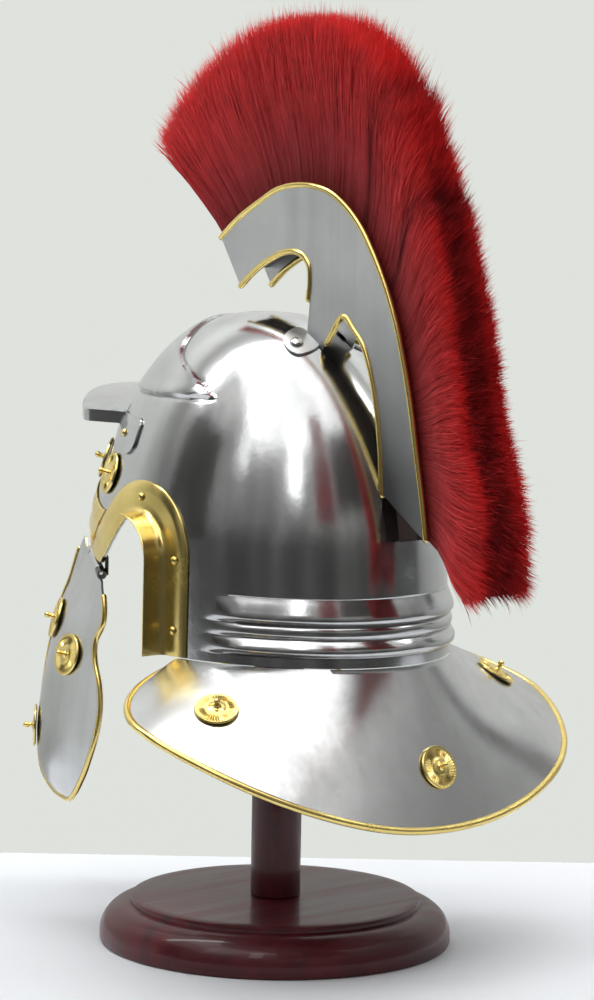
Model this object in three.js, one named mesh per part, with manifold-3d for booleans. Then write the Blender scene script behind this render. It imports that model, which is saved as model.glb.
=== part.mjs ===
// Roman legionary helmet on its display stand.
// Millimetres, +Z up, the face looks along -Y and the wearer's left is +X.
// The origin is the centre of the stand's underside.
import * as THREE from 'three';
import { mergeVertices } from 'three/addons/utils/BufferGeometryUtils.js';
import Module from 'manifold-3d';

const wasm = await Module();
wasm.setup();

// Clearances
const GAP = 0.4;
const HAIR_GAP = 0.4;
const BEAD_GAP = 0.6;

// Stand
const BASE_RADIUS = 109.4;
const BASE_TOP_RADIUS = 91.6;
const BASE_HEIGHT = 28.5;
const BASE_FOOT_HEIGHT = 6;
const BASE_STEP = 2.2;
const POST_DIAMETER = 31;
const POST_HEAD_DIAMETER = 62;
const POST_HEAD_HEIGHT = 14;
const POST_HEAD_FLARE = 5.6;

// Bowl
const HELMET_Y = -13;
const HALF_LENGTH = 126;
const HALF_WIDTH = 95;
const WALL = 1.5;
const CROWN_Z = 392;
const WIDEST_Z = 259;
const NAPE_Z = 189;
const CROWN_ROUNDNESS = 2.5;
const CROWN_SLOPE = 1.3;
const NAPE_SPREAD = 4;
const RIM_Z = 236;
const BROW_RIM_RISE = 17;
const DOME_COLUMNS = 40;
const REACH_PAST = 2 * HALF_WIDTH;

// Ribs at the nape
const RIB_BAND_TOP_Z = 230;
const RIB_BAND_HEIGHT = 35;
const RIB_RELIEF = 3.2;
const RIB_END_DEGREES = 70;
const RIB_FADE_DEGREES = 14;

// Embossed eyebrows
const BROW_RELIEF = 2.2;
const BROW_LENGTH = 150;
const BROW_HEIGHT = 60;
const BROW_BASE_Z = 341;

// Ear openings and their brass guards
const EAR_Y = -25;
const EAR_ARCH_Z = 247;
const EAR_RADIUS = 25;
const EAR_FRONT_DEGREES = 135;
const EAR_PLATE_WIDTH = 20;
const EAR_FLANGE = 16;
const EAR_SHEET = 1.1;

// Peak over the brow
const PEAK_END_Z = 327;
const PEAK_RISE = 10;
const PEAK_REACH = 44;
const PEAK_SIDE_REACH = 14;
const PEAK_HALF_DEGREES = 46;
const PEAK_RIM = 7.5;
const PEAK_SHEET = 1.3;
const LUG_LENGTH = 36;
const LUG_HEIGHT = 22;

// Brass strip on the brow
const BAND_HEIGHT = 33;
const BAND_SHEET = 0.9;

// Neck guard
const GUARD_REACH = 182.4;
const GUARD_DROP = 90;
const GUARD_SHEET = 1.6;
const GUARD_CROWN = 1.5;
const GUARD_INNER_DEGREES = 73;
const EDGING_DIAMETER = 4.6;

// Brass rosettes
const ROSETTE_RADIUS = 13.3;
const ROSETTE_DISH = 2.6;
const ROSETTE_SHEET = 0.9;
const KNOB_RADIUS = 1.9;
const KNOB_HEIGHT = 6.4;
const ROSETTE_LIFT = 0.5;

// Rivets
const RIVET_RADIUS = 2.6;
const RIVET_HEIGHT = 1.7;
const CREST_RIVET_RADIUS = 4.2;
const CREST_RIVET_HEIGHT = 2.6;

// Cheek guards and their hinges
const HINGE_DEGREES = 126;
const HINGE_LENGTH = 40;
const HINGE_TILT_DEGREES = 16;
const HINGE_DROP = 4.6;
const KNUCKLE_RADIUS = 3.1;
const KNUCKLE_BORE = 1.9;
const KNUCKLE_SHARE = 0.3;
const PIN_RADIUS = 1.4;
const LEAF_SHEET = 1;
const LEAF_HEIGHT = 11;
const CHEEK_HEIGHT = 142;
const CHEEK_WIDTH = 84;
const CHEEK_BULGE = 24;
const CHEEK_WRAP = 2.12;
const CHEEK_HORN = 8;
const CHEEK_SWING = 12;
const CHEEK_SHEET = 1.4;
const CHEEK_EDGING_DIAMETER = 3.6;

// Crest
const CREST_LENGTH = 185;
const CREST_HEIGHT = 202;
const CREST_FRONT_Y = -45;
const CREST_END_Z = 268;
const CREST_WIDTH = 24;
const CREST_SHEET = 1.2;
const CREST_EDGING_DIAMETER = 4;
const FOOT_Y = 37;
const FOOT_LENGTH = 20;
const FOOT_WIDTH = 19;
const FOOT_RIVET_SHARE = 0.6;
const BLOCK_DEPTH = 22;
const HAIR_LENGTH = 106;
const HAIR_TOP_WIDTH = 27;
const HAIR_TAIL_WIDTH = 46;
const HAIR_ROOT_DEPTH = 6;
const LOCKS = 13;

// Materials
const metal = (color, roughness, metalness = 1) =>
  new THREE.MeshStandardMaterial({ color, roughness, metalness });
const steel = metal(0xb9bcbc, 0.25);
const brass = metal(0xc9a646, 0.28);
const wood = metal(0x3a0d0c, 0.3, 0);
const blockWood = metal(0x5a2a20, 0.6, 0);
const horsehair = metal(0xb8161c, 0.75, 0);

const group = new THREE.Group();

function place(name, geometry, material) {
  const mesh = new THREE.Mesh(geometry, material);
  mesh.name = name;
  group.add(mesh);
}

// Solids and joins
function signedVolume(geometry) {
  const position = geometry.attributes.position;
  const index = geometry.index;
  const a = new THREE.Vector3();
  const b = new THREE.Vector3();
  const c = new THREE.Vector3();
  let volume = 0;
  for (let i = 0; i < index.count; i += 3) {
    a.fromBufferAttribute(position, index.getX(i));
    b.fromBufferAttribute(position, index.getX(i + 1));
    c.fromBufferAttribute(position, index.getX(i + 2));
    volume += a.dot(b.cross(c)) / 6;
  }
  return volume;
}

function meshOf(points, triangles) {
  const geometry = new THREE.BufferGeometry();
  const flat = points.flatMap((p) => [p.x, p.y, p.z]);
  geometry.setAttribute('position', new THREE.Float32BufferAttribute(flat, 3));
  geometry.setIndex(triangles);
  if (signedVolume(geometry) < 0) {
    const turned = [];
    for (let i = 0; i < triangles.length; i += 3) {
      turned.push(triangles[i], triangles[i + 2], triangles[i + 1]);
    }
    geometry.setIndex(turned);
  }
  return geometry;
}

function bare(geometry) {
  const copy = geometry.clone();
  copy.deleteAttribute('normal');
  copy.deleteAttribute('uv');
  return mergeVertices(copy, 1e-4);
}

function toSolid(geometry) {
  const merged = bare(geometry);
  return new wasm.Manifold(new wasm.Mesh({
    numProp: 3,
    vertProperties: new Float32Array(merged.attributes.position.array),
    triVerts: new Uint32Array(merged.index.array),
  }));
}

function toGeometry(solid) {
  const mesh = solid.getMesh();
  const geometry = new THREE.BufferGeometry();
  geometry.setAttribute('position', new THREE.BufferAttribute(mesh.vertProperties, 3));
  geometry.setIndex(new THREE.BufferAttribute(mesh.triVerts, 1));
  return geometry;
}

function joined(geometries) {
  return toGeometry(geometries.map(toSolid).reduce((sum, next) => sum.add(next)));
}

// A sheet through rings that run out along one face and back along the other
function sheetLoft(rings) {
  const size = rings[0].length;
  const caps = [];
  for (let i = 0; i + 1 < size / 2; i += 1) {
    caps.push([i, i + 1, size - 2 - i], [i, size - 2 - i, size - 1 - i]);
  }
  return loftWith(rings, caps);
}

// A loft through rings of equal length; the ends are filled from the flat section
function loft(rings, section) {
  const caps = THREE.ShapeUtils.triangulateShape(section, []);
  const turned = THREE.ShapeUtils.isClockWise(section);
  return loftWith(rings, caps.map(([a, b, c]) => (turned ? [a, c, b] : [a, b, c])));
}

function loftWith(rings, caps) {
  const size = rings[0].length;
  const points = rings.flat();
  const triangles = [];
  for (let i = 0; i + 1 < rings.length; i += 1) {
    for (let j = 0; j < size; j += 1) {
      const k = (j + 1) % size;
      const low = i * size;
      const high = low + size;
      triangles.push(low + j, low + k, high + k, low + j, high + k, high + j);
    }
  }
  const last = (rings.length - 1) * size;
  for (const [a, b, c] of caps) {
    triangles.push(c, b, a, last + a, last + b, last + c);
  }
  return meshOf(points, triangles);
}

function polygon(count, radius) {
  return Array.from({ length: count }, (_, i) => {
    const angle = (2 * Math.PI * i) / count;
    return new THREE.Vector2(radius * Math.cos(angle), radius * Math.sin(angle));
  });
}

// A round bar along points, with its section turned by the given side direction
function bar(path, radius, sideAt, sides = 5) {
  const section = polygon(sides, radius);
  const rings = path.map((p, i) => {
    const before = path[Math.max(i - 1, 0)];
    const after = path[Math.min(i + 1, path.length - 1)];
    const along = new THREE.Vector3().subVectors(after, before).normalize();
    const side = sideAt(i).clone().addScaledVector(along, -along.dot(sideAt(i))).normalize();
    const up = new THREE.Vector3().crossVectors(along, side);
    return section.map((s) => p.clone().addScaledVector(side, s.x).addScaledVector(up, s.y));
  });
  return loft(rings, section);
}

// The path of a bead that lies against an edge, outside it and clear by the gap
function beadPath(edge, inside, radius) {
  return edge.map((point, i) => {
    const along = edge[Math.min(i + 1, edge.length - 1)].clone();
    along.sub(edge[Math.max(i - 1, 0)]).normalize();
    const out = point.clone().sub(inside[i]);
    out.addScaledVector(along, -along.dot(out)).normalize();
    return point.clone().addScaledVector(out, radius + BEAD_GAP);
  });
}

function prism(outline, depth, toWorld) {
  const shape = new THREE.Shape(outline);
  const geometry = new THREE.ExtrudeGeometry(shape, { depth, bevelEnabled: false, steps: 1 });
  geometry.applyMatrix4(toWorld);
  return geometry;
}

// Draws a (y, z) outline and pushes it along X from the given start
function sidePrism(outline, start, depth) {
  const axes = new THREE.Matrix4().makeBasis(
    new THREE.Vector3(0, 1, 0), new THREE.Vector3(0, 0, 1), new THREE.Vector3(1, 0, 0));
  axes.setPosition(start, 0, 0);
  return prism(outline, depth, axes);
}

const radians = THREE.MathUtils.degToRad;
const lerp = THREE.MathUtils.lerp;
const smooth = THREE.MathUtils.smoothstep;

function tableAt(table, key, value, column) {
  const last = table.length - 1;
  let i = 0;
  while (i < last - 1 && value > table[i + 1][key]) i += 1;
  const share = (value - table[i][key]) / (table[i + 1][key] - table[i][key]);
  return lerp(table[i][column], table[i + 1][column], THREE.MathUtils.clamp(share, 0, 1));
}

// Shape of the bowl: an oval in plan that closes to the crown
function crownShare(z, lift) {
  const rise = (z - WIDEST_Z) / (CROWN_Z + lift - WIDEST_Z);
  if (rise <= 0) return 1;
  if (rise >= 1) return 0;
  return (1 - rise ** CROWN_SLOPE) ** (1 / CROWN_ROUNDNESS);
}

function crownHeight(share, lift) {
  return WIDEST_Z
    + (CROWN_Z + lift - WIDEST_Z) * (1 - share ** CROWN_ROUNDNESS) ** (1 / CROWN_SLOPE);
}

// Three convex ribs, as a wave of relief down the band
const ribProfile = [
  { depth: 0.00, relief: 0.00 },
  { depth: 0.09, relief: 0.75 },
  { depth: 0.20, relief: 1.00 },
  { depth: 0.32, relief: 0.70 },
  { depth: 0.42, relief: 0.05 },
  { depth: 0.56, relief: 0.55 },
  { depth: 0.70, relief: 0.05 },
  { depth: 0.80, relief: 0.80 },
  { depth: 0.91, relief: 0.80 },
  { depth: 1.00, relief: 0.10 },
];

// Angle from the back of the head, in degrees, 0 to 180
function ribRelief(z, degrees) {
  const depth = (RIB_BAND_TOP_Z - z) / RIB_BAND_HEIGHT;
  if (depth <= 0 || depth >= 1) return 0;
  const fade = 1 - smooth(degrees, RIB_END_DEGREES - RIB_FADE_DEGREES, RIB_END_DEGREES);
  return RIB_RELIEF * fade * tableAt(ribProfile, 'depth', depth, 'relief');
}

function napeSpread(z, degrees) {
  const low = 1 - smooth(z, NAPE_Z, WIDEST_Z);
  return NAPE_SPREAD * low * Math.max(0, Math.cos(radians(degrees)));
}

// A point of the bowl's surface, at an angle from the back toward the wearer's left
function bowlPoint(degrees, z, lift, ribs = 0) {
  const share = crownShare(z, lift);
  const around = Math.abs(degrees > 180 ? 360 - degrees : degrees);
  const extra = lift + napeSpread(z, around) + ribs * ribRelief(z, around);
  const angle = radians(degrees);
  return new THREE.Vector3(
    (HALF_WIDTH + extra) * share * Math.sin(angle),
    HELMET_Y + (HALF_LENGTH + extra) * share * Math.cos(angle),
    z);
}

function bowlNormal(degrees, z) {
  const step = 0.5;
  const base = bowlPoint(degrees, z, 0);
  const around = bowlPoint(degrees + step, z, 0).sub(base);
  const up = bowlPoint(degrees, z + step, 0).sub(base);
  return new THREE.Vector3().crossVectors(up, around).normalize();
}

// Angle from the back where the bowl reaches a given y at a given height
function degreesAt(y, z) {
  const share = crownShare(z, 0);
  const cosine = THREE.MathUtils.clamp((y - HELMET_Y) / (HALF_LENGTH * share), -1, 1);
  return THREE.MathUtils.radToDeg(Math.acos(cosine));
}

const domeShares = [0.25, 0.45, 0.62, 0.76, 0.87, 0.95, 0.985];

function domeSolid(lift, bottom, ribs) {
  const heights = domeShares.map((share) => crownHeight(share, lift));
  heights.push(WIDEST_Z, (WIDEST_Z + RIB_BAND_TOP_Z) / 2);
  if (ribs) {
    for (const row of ribProfile) heights.push(RIB_BAND_TOP_Z - row.depth * RIB_BAND_HEIGHT);
  } else {
    heights.push(RIB_BAND_TOP_Z, RIB_BAND_TOP_Z - RIB_BAND_HEIGHT / 2);
  }
  heights.push(bottom);
  const points = [new THREE.Vector3(0, HELMET_Y, CROWN_Z + lift)];
  for (const z of heights) {
    for (let i = 0; i < DOME_COLUMNS; i += 1) {
      points.push(bowlPoint((360 * i) / DOME_COLUMNS, z, lift, ribs));
    }
  }
  points.push(new THREE.Vector3(0, HELMET_Y, bottom));
  const triangles = [];
  const at = (row, column) => 1 + row * DOME_COLUMNS + (column % DOME_COLUMNS);
  for (let i = 0; i < DOME_COLUMNS; i += 1) {
    triangles.push(0, at(0, i), at(0, i + 1));
    for (let row = 0; row + 1 < heights.length; row += 1) {
      triangles.push(at(row, i), at(row + 1, i), at(row + 1, i + 1));
      triangles.push(at(row, i), at(row + 1, i + 1), at(row, i + 1));
    }
    triangles.push(at(heights.length - 1, i), points.length - 1, at(heights.length - 1, i + 1));
  }
  return toSolid(meshOf(points, triangles));
}

// A sheet that lies on the bowl inside a prism
function sheetOnBowl(prismGeometry, lift, thickness) {
  const below = NAPE_Z - 2 * BASE_HEIGHT;
  const outer = domeSolid(lift + thickness, below, 0);
  const inner = domeSolid(lift, below - BASE_HEIGHT, 0);
  return outer.subtract(inner).intersect(toSolid(prismGeometry));
}

// Outline of the ear opening or of its guard: a straight leg behind, an arch, a slope in front
function archOutline(radius, bottom) {
  const steps = 10;
  const end = radians(EAR_FRONT_DEGREES);
  const foot = (EAR_ARCH_Z + radius * Math.sin(end) - bottom) * Math.tan(end);
  const points = [new THREE.Vector2(EAR_Y + radius * Math.cos(end) + foot, bottom)];
  for (let i = 0; i <= steps; i += 1) {
    const angle = end * (1 - i / steps);
    points.push(new THREE.Vector2(
      EAR_Y + radius * Math.cos(angle), EAR_ARCH_Z + radius * Math.sin(angle)));
  }
  points.push(new THREE.Vector2(EAR_Y + radius, bottom));
  return points;
}

const EAR_FRONT_Y = EAR_Y - EAR_RADIUS;
const EAR_PLATE_FRONT_Y = EAR_FRONT_Y - EAR_PLATE_WIDTH;
const BROW_FRONT_Y = HELMET_Y - HALF_LENGTH;

// The rim rises from the hinge of the cheek guard to the middle of the brow
function rimHeight(y) {
  return RIM_Z + BROW_RIM_RISE * smooth(-y, -EAR_PLATE_FRONT_Y, -BROW_FRONT_Y - WALL);
}

function faceCutter(raise) {
  const steps = 8;
  const outline = [
    new THREE.Vector2(EAR_FRONT_Y, 0),
    new THREE.Vector2(EAR_FRONT_Y, RIM_Z + raise),
  ];
  for (let i = 0; i <= steps; i += 1) {
    const y = lerp(EAR_PLATE_FRONT_Y, BROW_FRONT_Y, i / steps);
    outline.push(new THREE.Vector2(y, rimHeight(y) + raise));
  }
  outline.push(new THREE.Vector2(BROW_FRONT_Y - HALF_LENGTH, rimHeight(BROW_FRONT_Y) + raise));
  outline.push(new THREE.Vector2(BROW_FRONT_Y - HALF_LENGTH, 0));
  return sidePrism(outline, -REACH_PAST, 2 * REACH_PAST);
}

// Eyebrows: the raised forehead, pointed at the rear above each ear
const browOutline = [
  { forward: 0.00, height: 0.06 },
  { forward: 0.16, height: 0.02 },
  { forward: 0.45, height: 0.00 },
  { forward: 0.75, height: 0.00 },
  { forward: 1.20, height: 0.00 },
  { forward: 1.20, height: 1.00 },
  { forward: 0.50, height: 1.00 },
  { forward: 0.40, height: 0.76 },
  { forward: 0.36, height: 0.60 },
  { forward: 0.32, height: 0.45 },
  { forward: 0.25, height: 0.35 },
  { forward: 0.12, height: 0.22 },
];

function browSolid(lift) {
  const browTip = EAR_Y + EAR_RADIUS + EAR_PLATE_WIDTH / 2;
  const browShape = browOutline.map((row) => new THREE.Vector2(
    browTip - row.forward * BROW_LENGTH, BROW_BASE_Z + row.height * BROW_HEIGHT));
  return domeSolid(BROW_RELIEF + lift, NAPE_Z, 0)
    .intersect(toSolid(sidePrism(browShape, -REACH_PAST, 2 * REACH_PAST)));
}

function buildBowl() {
  const openBelow = NAPE_Z - BASE_HEIGHT;
  const ears = toSolid(sidePrism(archOutline(EAR_RADIUS, openBelow), -REACH_PAST, 2 * REACH_PAST));
  return toGeometry(domeSolid(0, NAPE_Z, 1)
    .add(browSolid(0))
    .subtract(domeSolid(-WALL, openBelow, 0))
    .subtract(ears)
    .subtract(toSolid(faceCutter(0))));
}

place('bowl', buildBowl(), steel);

// Ear guards: a flat arch on the bowl and a flange that stands out behind the opening
function buildEarGuard() {
  const outer = archOutline(EAR_RADIUS + EAR_PLATE_WIDTH, NAPE_Z + GAP);
  const inner = archOutline(EAR_RADIUS, NAPE_Z - GAP);
  const plateShape = toSolid(sidePrism(outer, 0, REACH_PAST));
  const hole = toSolid(sidePrism(inner, 0, REACH_PAST));
  const below = NAPE_Z - 2 * BASE_HEIGHT;
  const shell = domeSolid(GAP + EAR_SHEET, below, 0).subtract(domeSolid(GAP, below - WALL, 0));
  const plate = shell.intersect(plateShape).subtract(hole);
  const tall = domeSolid(GAP + EAR_FLANGE, below, 0).subtract(domeSolid(GAP, below - WALL, 0));
  const flangeOuter = toSolid(sidePrism(
    archOutline(EAR_RADIUS + EAR_SHEET, NAPE_Z + GAP), 0, REACH_PAST));
  const flange = tall.intersect(flangeOuter).subtract(hole).subtract(flangeTaper());
  return toGeometry(plate.add(flange).subtract(toSolid(faceCutter(GAP))));
}

// The flange runs out to nothing from the top of the arch to its front
function flangeTaper() {
  const skin = HALF_WIDTH + GAP;
  const endY = EAR_Y + EAR_RADIUS * Math.cos(radians(EAR_FRONT_DEGREES));
  const outline = [
    [skin + EAR_FLANGE, EAR_Y], [REACH_PAST, EAR_Y], [REACH_PAST, endY - HALF_LENGTH],
    [skin - EAR_FLANGE, endY - HALF_LENGTH], [skin - EAR_SHEET, endY],
  ].map(([x, y]) => new THREE.Vector2(x, y));
  return toSolid(prism(outline, CROWN_Z, new THREE.Matrix4()));
}

// A domed rivet head on the bowl
function rivetAt(point, normal, radius, height) {
  const steps = 2;
  const profile = [new THREE.Vector2(0, 0), new THREE.Vector2(radius, 0)];
  for (let i = 1; i < steps; i += 1) {
    const angle = (Math.PI / 2) * (i / steps);
    profile.push(new THREE.Vector2(radius * Math.cos(angle), height * Math.sin(angle)));
  }
  profile.push(new THREE.Vector2(0, height));
  return standing(bare(new THREE.LatheGeometry(profile, 8)), point, normal);
}

// Turns a piece that stands on +Y so that it stands on the normal at a point
function standing(geometry, point, normal) {
  const turn = new THREE.Quaternion().setFromUnitVectors(new THREE.Vector3(0, 1, 0), normal);
  return geometry.clone().applyQuaternion(turn).translate(point.x, point.y, point.z);
}

function onBowl(y, z, side, lift) {
  const degrees = degreesAt(y, z);
  const point = bowlPoint(degrees, z, 0);
  const normal = bowlNormal(degrees, z);
  point.addScaledVector(normal, lift);
  point.x *= side;
  normal.x *= side;
  return { point, normal };
}

const sideNames = [{ name: 'left', side: 1 }, { name: 'right', side: -1 }];
const EAR_RIVET_RADIUS = EAR_RADIUS + EAR_PLATE_WIDTH / 2;
const earRivets = [
  { name: 'top', y: EAR_Y, z: EAR_ARCH_Z + EAR_RIVET_RADIUS },
  { name: 'middle', y: EAR_Y + EAR_RIVET_RADIUS, z: EAR_ARCH_Z + GAP },
  { name: 'low', y: EAR_Y + EAR_RIVET_RADIUS, z: NAPE_Z + 0.8 * EAR_PLATE_WIDTH },
];

const earGuard = buildEarGuard();
for (const { name, side } of sideNames) {
  place(`ear_guard_${name}`, mirrored(earGuard, side), brass);
  for (const rivet of earRivets) {
    const { point, normal } = onBowl(rivet.y, rivet.z, side, 2 * GAP + EAR_SHEET);
    const head = rivetAt(point, normal, RIVET_RADIUS, RIVET_HEIGHT);
    place(`ear_rivet_${rivet.name}_${name}`, head, brass);
  }
}

// Brass strip along the brow, from the front edge of one ear guard to the other
function buildBrowBand() {
  const bottom = faceCutter(GAP);
  const top = faceCutter(BAND_HEIGHT);
  const guards = sidePrism(archOutline(EAR_RADIUS + EAR_PLATE_WIDTH + GAP, NAPE_Z),
    -REACH_PAST, 2 * REACH_PAST);
  const strip = toSolid(top).subtract(toSolid(bottom)).subtract(toSolid(guards));
  const below = NAPE_Z - BASE_HEIGHT;
  const shell = domeSolid(GAP + BAND_SHEET, below, 0).subtract(domeSolid(GAP, below - WALL, 0));
  return toGeometry(shell.intersect(strip));
}

place('brow_band', buildBrowBand(), brass);

// Rosettes: a dished disc with a raised ring and a knob on a stalk
function rosetteGeometry() {
  const r = ROSETTE_RADIUS;
  const profile = [
    [0, 0],
    [0.86 * r, 0],
    [r, 0.8 * ROSETTE_DISH],
    [0.86 * r, ROSETTE_DISH],
    [0.3 * r, ROSETTE_SHEET],
    [0.6 * KNOB_RADIUS, KNOB_HEIGHT - KNOB_RADIUS],
    [KNOB_RADIUS, KNOB_HEIGHT],
    [0, KNOB_HEIGHT + KNOB_RADIUS],
  ].map(([x, y]) => new THREE.Vector2(x, y));
  return bare(new THREE.LatheGeometry(profile, 10));
}

const rosette = rosetteGeometry();

const browRosettes = [
  { name: 'side', degrees: 121, rise: 55 },
  { name: 'front', degrees: 143, rise: 60 },
];

for (const { name, side } of sideNames) {
  for (const row of browRosettes) {
    const point = bowlPoint(row.degrees, RIM_Z + row.rise, 0);
    const normal = bowlNormal(row.degrees, RIM_Z + row.rise);
    point.addScaledVector(normal, GAP);
    point.x *= side;
    normal.x *= side;
    place(`brow_rosette_${row.name}_${name}`, standing(rosette, point, normal), brass);
  }
}

// Peak: a shelf that stands out from the brow, with its rim and ends turned down
function buildPeak() {
  const steps = 12;
  const section = [
    new THREE.Vector2(0, 0),
    new THREE.Vector2(1, 0),
    new THREE.Vector2(1, -PEAK_RIM),
    new THREE.Vector2(0.9, -PEAK_RIM),
    new THREE.Vector2(0.9, -PEAK_SHEET),
    new THREE.Vector2(0, -PEAK_SHEET),
  ];
  const rings = [];
  for (let i = 0; i <= steps; i += 1) {
    const degrees = 180 + lerp(-PEAK_HALF_DEGREES, PEAK_HALF_DEGREES, i / steps);
    const angle = radians(degrees);
    const across = (degrees - 180) / PEAK_HALF_DEGREES;
    const z = PEAK_END_Z + PEAK_RISE * Math.cos((Math.PI / 2) * across);
    const root = bowlPoint(degrees, z, 0);
    root.lerp(new THREE.Vector3(0, HELMET_Y, z), 0.1);
    const share = crownShare(PEAK_END_Z, 0);
    const edge = new THREE.Vector3(
      (HALF_WIDTH * share + PEAK_SIDE_REACH) * Math.sin(angle),
      HELMET_Y + (HALF_LENGTH * share + PEAK_REACH) * Math.cos(angle),
      z);
    const reach = edge.distanceTo(root);
    rings.push(section.map((s) => {
      const inset = s.x === 1 || s.x === 0 ? s.x : 1 - PEAK_SHEET / reach;
      return root.clone().lerp(edge, inset).setZ(z + s.y);
    }));
  }
  const shelf = toSolid(loft(rings, section));
  const pieces = [shelf];
  for (const ring of [rings[0], rings[steps]]) {
    const inward = ring === rings[0] ? rings[1] : rings[steps - 1];
    const toward = inward[0].clone().sub(ring[0]).setZ(0).normalize().multiplyScalar(PEAK_SHEET);
    const plate = [ring[0], ring[1], ring[2], ring[5].clone().setZ(ring[2].z)];
    const back = plate.map((p) => p.clone().add(toward));
    const flat = [[0, 0], [1, 0], [1, -1], [0, -1]].map(([x, y]) => new THREE.Vector2(x, y));
    pieces.push(toSolid(loft([plate, back], flat)));
  }
  const shareY = crownShare(PEAK_END_Z, 0) * HALF_LENGTH;
  const lugFront = HELMET_Y + shareY * Math.cos(radians(180 - PEAK_HALF_DEGREES));
  const corner = LUG_HEIGHT / 4;
  const lugTop = PEAK_END_Z;
  const lug = sidePrism([
    new THREE.Vector2(lugFront - corner, lugTop),
    new THREE.Vector2(lugFront - corner, lugTop - PEAK_RIM),
    new THREE.Vector2(lugFront + corner, lugTop - LUG_HEIGHT),
    new THREE.Vector2(lugFront + LUG_LENGTH - corner, lugTop - LUG_HEIGHT),
    new THREE.Vector2(lugFront + LUG_LENGTH, lugTop - LUG_HEIGHT + corner),
    new THREE.Vector2(lugFront + LUG_LENGTH, lugTop - corner / 2),
    new THREE.Vector2(lugFront + LUG_LENGTH - corner / 2, lugTop),
  ], -REACH_PAST, 2 * REACH_PAST);
  const lugs = sheetOnBowl(lug, GAP, PEAK_SHEET);
  const whole = pieces.reduce((sum, next) => sum.add(next));
  return toGeometry(whole.subtract(domeSolid(GAP, NAPE_Z, 0)).add(lugs)
    .subtract(browSolid(GAP)));
}

place('brow_peak', buildPeak(), steel);

for (const { name, side } of sideNames) {
  const share = crownShare(PEAK_END_Z, 0) * HALF_LENGTH;
  const lugFront = HELMET_Y + share * Math.cos(radians(180 - PEAK_HALF_DEGREES));
  const at = onBowl(lugFront + LUG_LENGTH / 2, PEAK_END_Z - LUG_HEIGHT / 2, side,
    2 * GAP + PEAK_SHEET);
  place(`peak_rivet_${name}`, rivetAt(at.point, at.normal, RIVET_RADIUS, RIVET_HEIGHT), brass);
}

// Neck guard: plan angle from the back, reach and drop of the outer edge
const guardEdge = [
  { degrees: 0.0, inner: 0.00, reach: 0.930, drop: 1.00 },
  { degrees: 15.0, inner: 0.20, reach: 0.950, drop: 0.960 },
  { degrees: 29.0, inner: 0.39, reach: 0.990, drop: 0.840 },
  { degrees: 37.0, inner: 0.49, reach: 1.010, drop: 0.742 },
  { degrees: 44.0, inner: 0.58, reach: 1.015, drop: 0.643 },
  { degrees: 51.0, inner: 0.67, reach: 1.003, drop: 0.540 },
  { degrees: 58.0, inner: 0.76, reach: 0.980, drop: 0.443 },
  { degrees: 64.5, inner: 0.84, reach: 0.946, drop: 0.358 },
  { degrees: 70.0, inner: 0.90, reach: 0.890, drop: 0.290 },
  { degrees: 73.5, inner: 0.94, reach: 0.820, drop: 0.225 },
  { degrees: 75.5, inner: 0.965, reach: 0.740, drop: 0.160 },
  { degrees: 76.0, inner: 0.985, reach: 0.650, drop: 0.095 },
  { degrees: 75.5, inner: 1.00, reach: 0.580, drop: 0.050 },
];

function guardOuter(row) {
  const angle = radians(row.degrees);
  return new THREE.Vector3(
    row.reach * GUARD_REACH * Math.sin(angle),
    HELMET_Y + row.reach * GUARD_REACH * Math.cos(angle),
    NAPE_Z - row.drop * GUARD_DROP);
}

// The inner edge follows the foot of the bowl just outside it
function guardInner(row) {
  const angle = radians(row.inner * GUARD_INNER_DEGREES);
  const direction = new THREE.Vector2(Math.sin(angle), Math.cos(angle));
  const radius = 1 / Math.hypot(
    direction.x / (HALF_WIDTH + NAPE_SPREAD * direction.y),
    direction.y / (HALF_LENGTH + NAPE_SPREAD));
  return new THREE.Vector3(
    radius * direction.x, HELMET_Y + radius * direction.y, NAPE_Z - GAP);
}

function guardRows() {
  const far = guardEdge.slice(1).reverse().map((row) => ({ ...row, mirror: -1 }));
  const near = guardEdge.map((row) => ({ ...row, mirror: 1 }));
  return far.concat(near);
}

// A point of the guard's upper face between its inner and outer edge
function guardPoint(row, share) {
  const inner = guardInner(row);
  const outer = guardOuter(row);
  const point = inner.lerp(outer, share);
  point.z += GUARD_CROWN * Math.sin(Math.PI * share);
  point.x *= row.mirror;
  return point;
}

const guardShares = [0, 0.5, 1];

function buildNeckGuard() {
  return sheetLoft(guardRows().map((row) => {
    const top = guardShares.map((share) => guardPoint(row, share));
    const under = top.slice().reverse().map((p) => p.clone().setZ(p.z - GUARD_SHEET));
    return top.concat(under);
  }));
}

place('neck_guard', buildNeckGuard(), steel);

function buildGuardEdging() {
  const radius = EDGING_DIAMETER / 2;
  const half = new THREE.Vector3(0, 0, -GUARD_SHEET / 2);
  const rows = guardRows();
  const edge = rows.map((row) => guardPoint(row, 1).add(half));
  const inside = rows.map((row) => guardPoint(row, 0.8).add(half));
  return bar(beadPath(edge, inside, radius), radius, () => new THREE.Vector3(0, 0, 1));
}

place('neck_guard_edging', buildGuardEdging(), brass);

// Rosettes on the neck guard: one in the middle and one on each side
function guardRosette(degrees, share) {
  const rowAt = (angle) => ({
    degrees: angle,
    inner: tableAt(guardEdge, 'degrees', angle, 'inner'),
    reach: tableAt(guardEdge, 'degrees', angle, 'reach'),
    drop: tableAt(guardEdge, 'degrees', angle, 'drop'),
    mirror: 1,
  });
  const step = 0.02;
  const point = guardPoint(rowAt(degrees), share);
  const out = guardPoint(rowAt(degrees), share + step).sub(point);
  const round = guardPoint(rowAt(degrees + 1), share).sub(point);
  const normal = new THREE.Vector3().crossVectors(round, out).normalize();
  if (normal.z < 0) normal.negate();
  return { point, normal };
}

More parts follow.
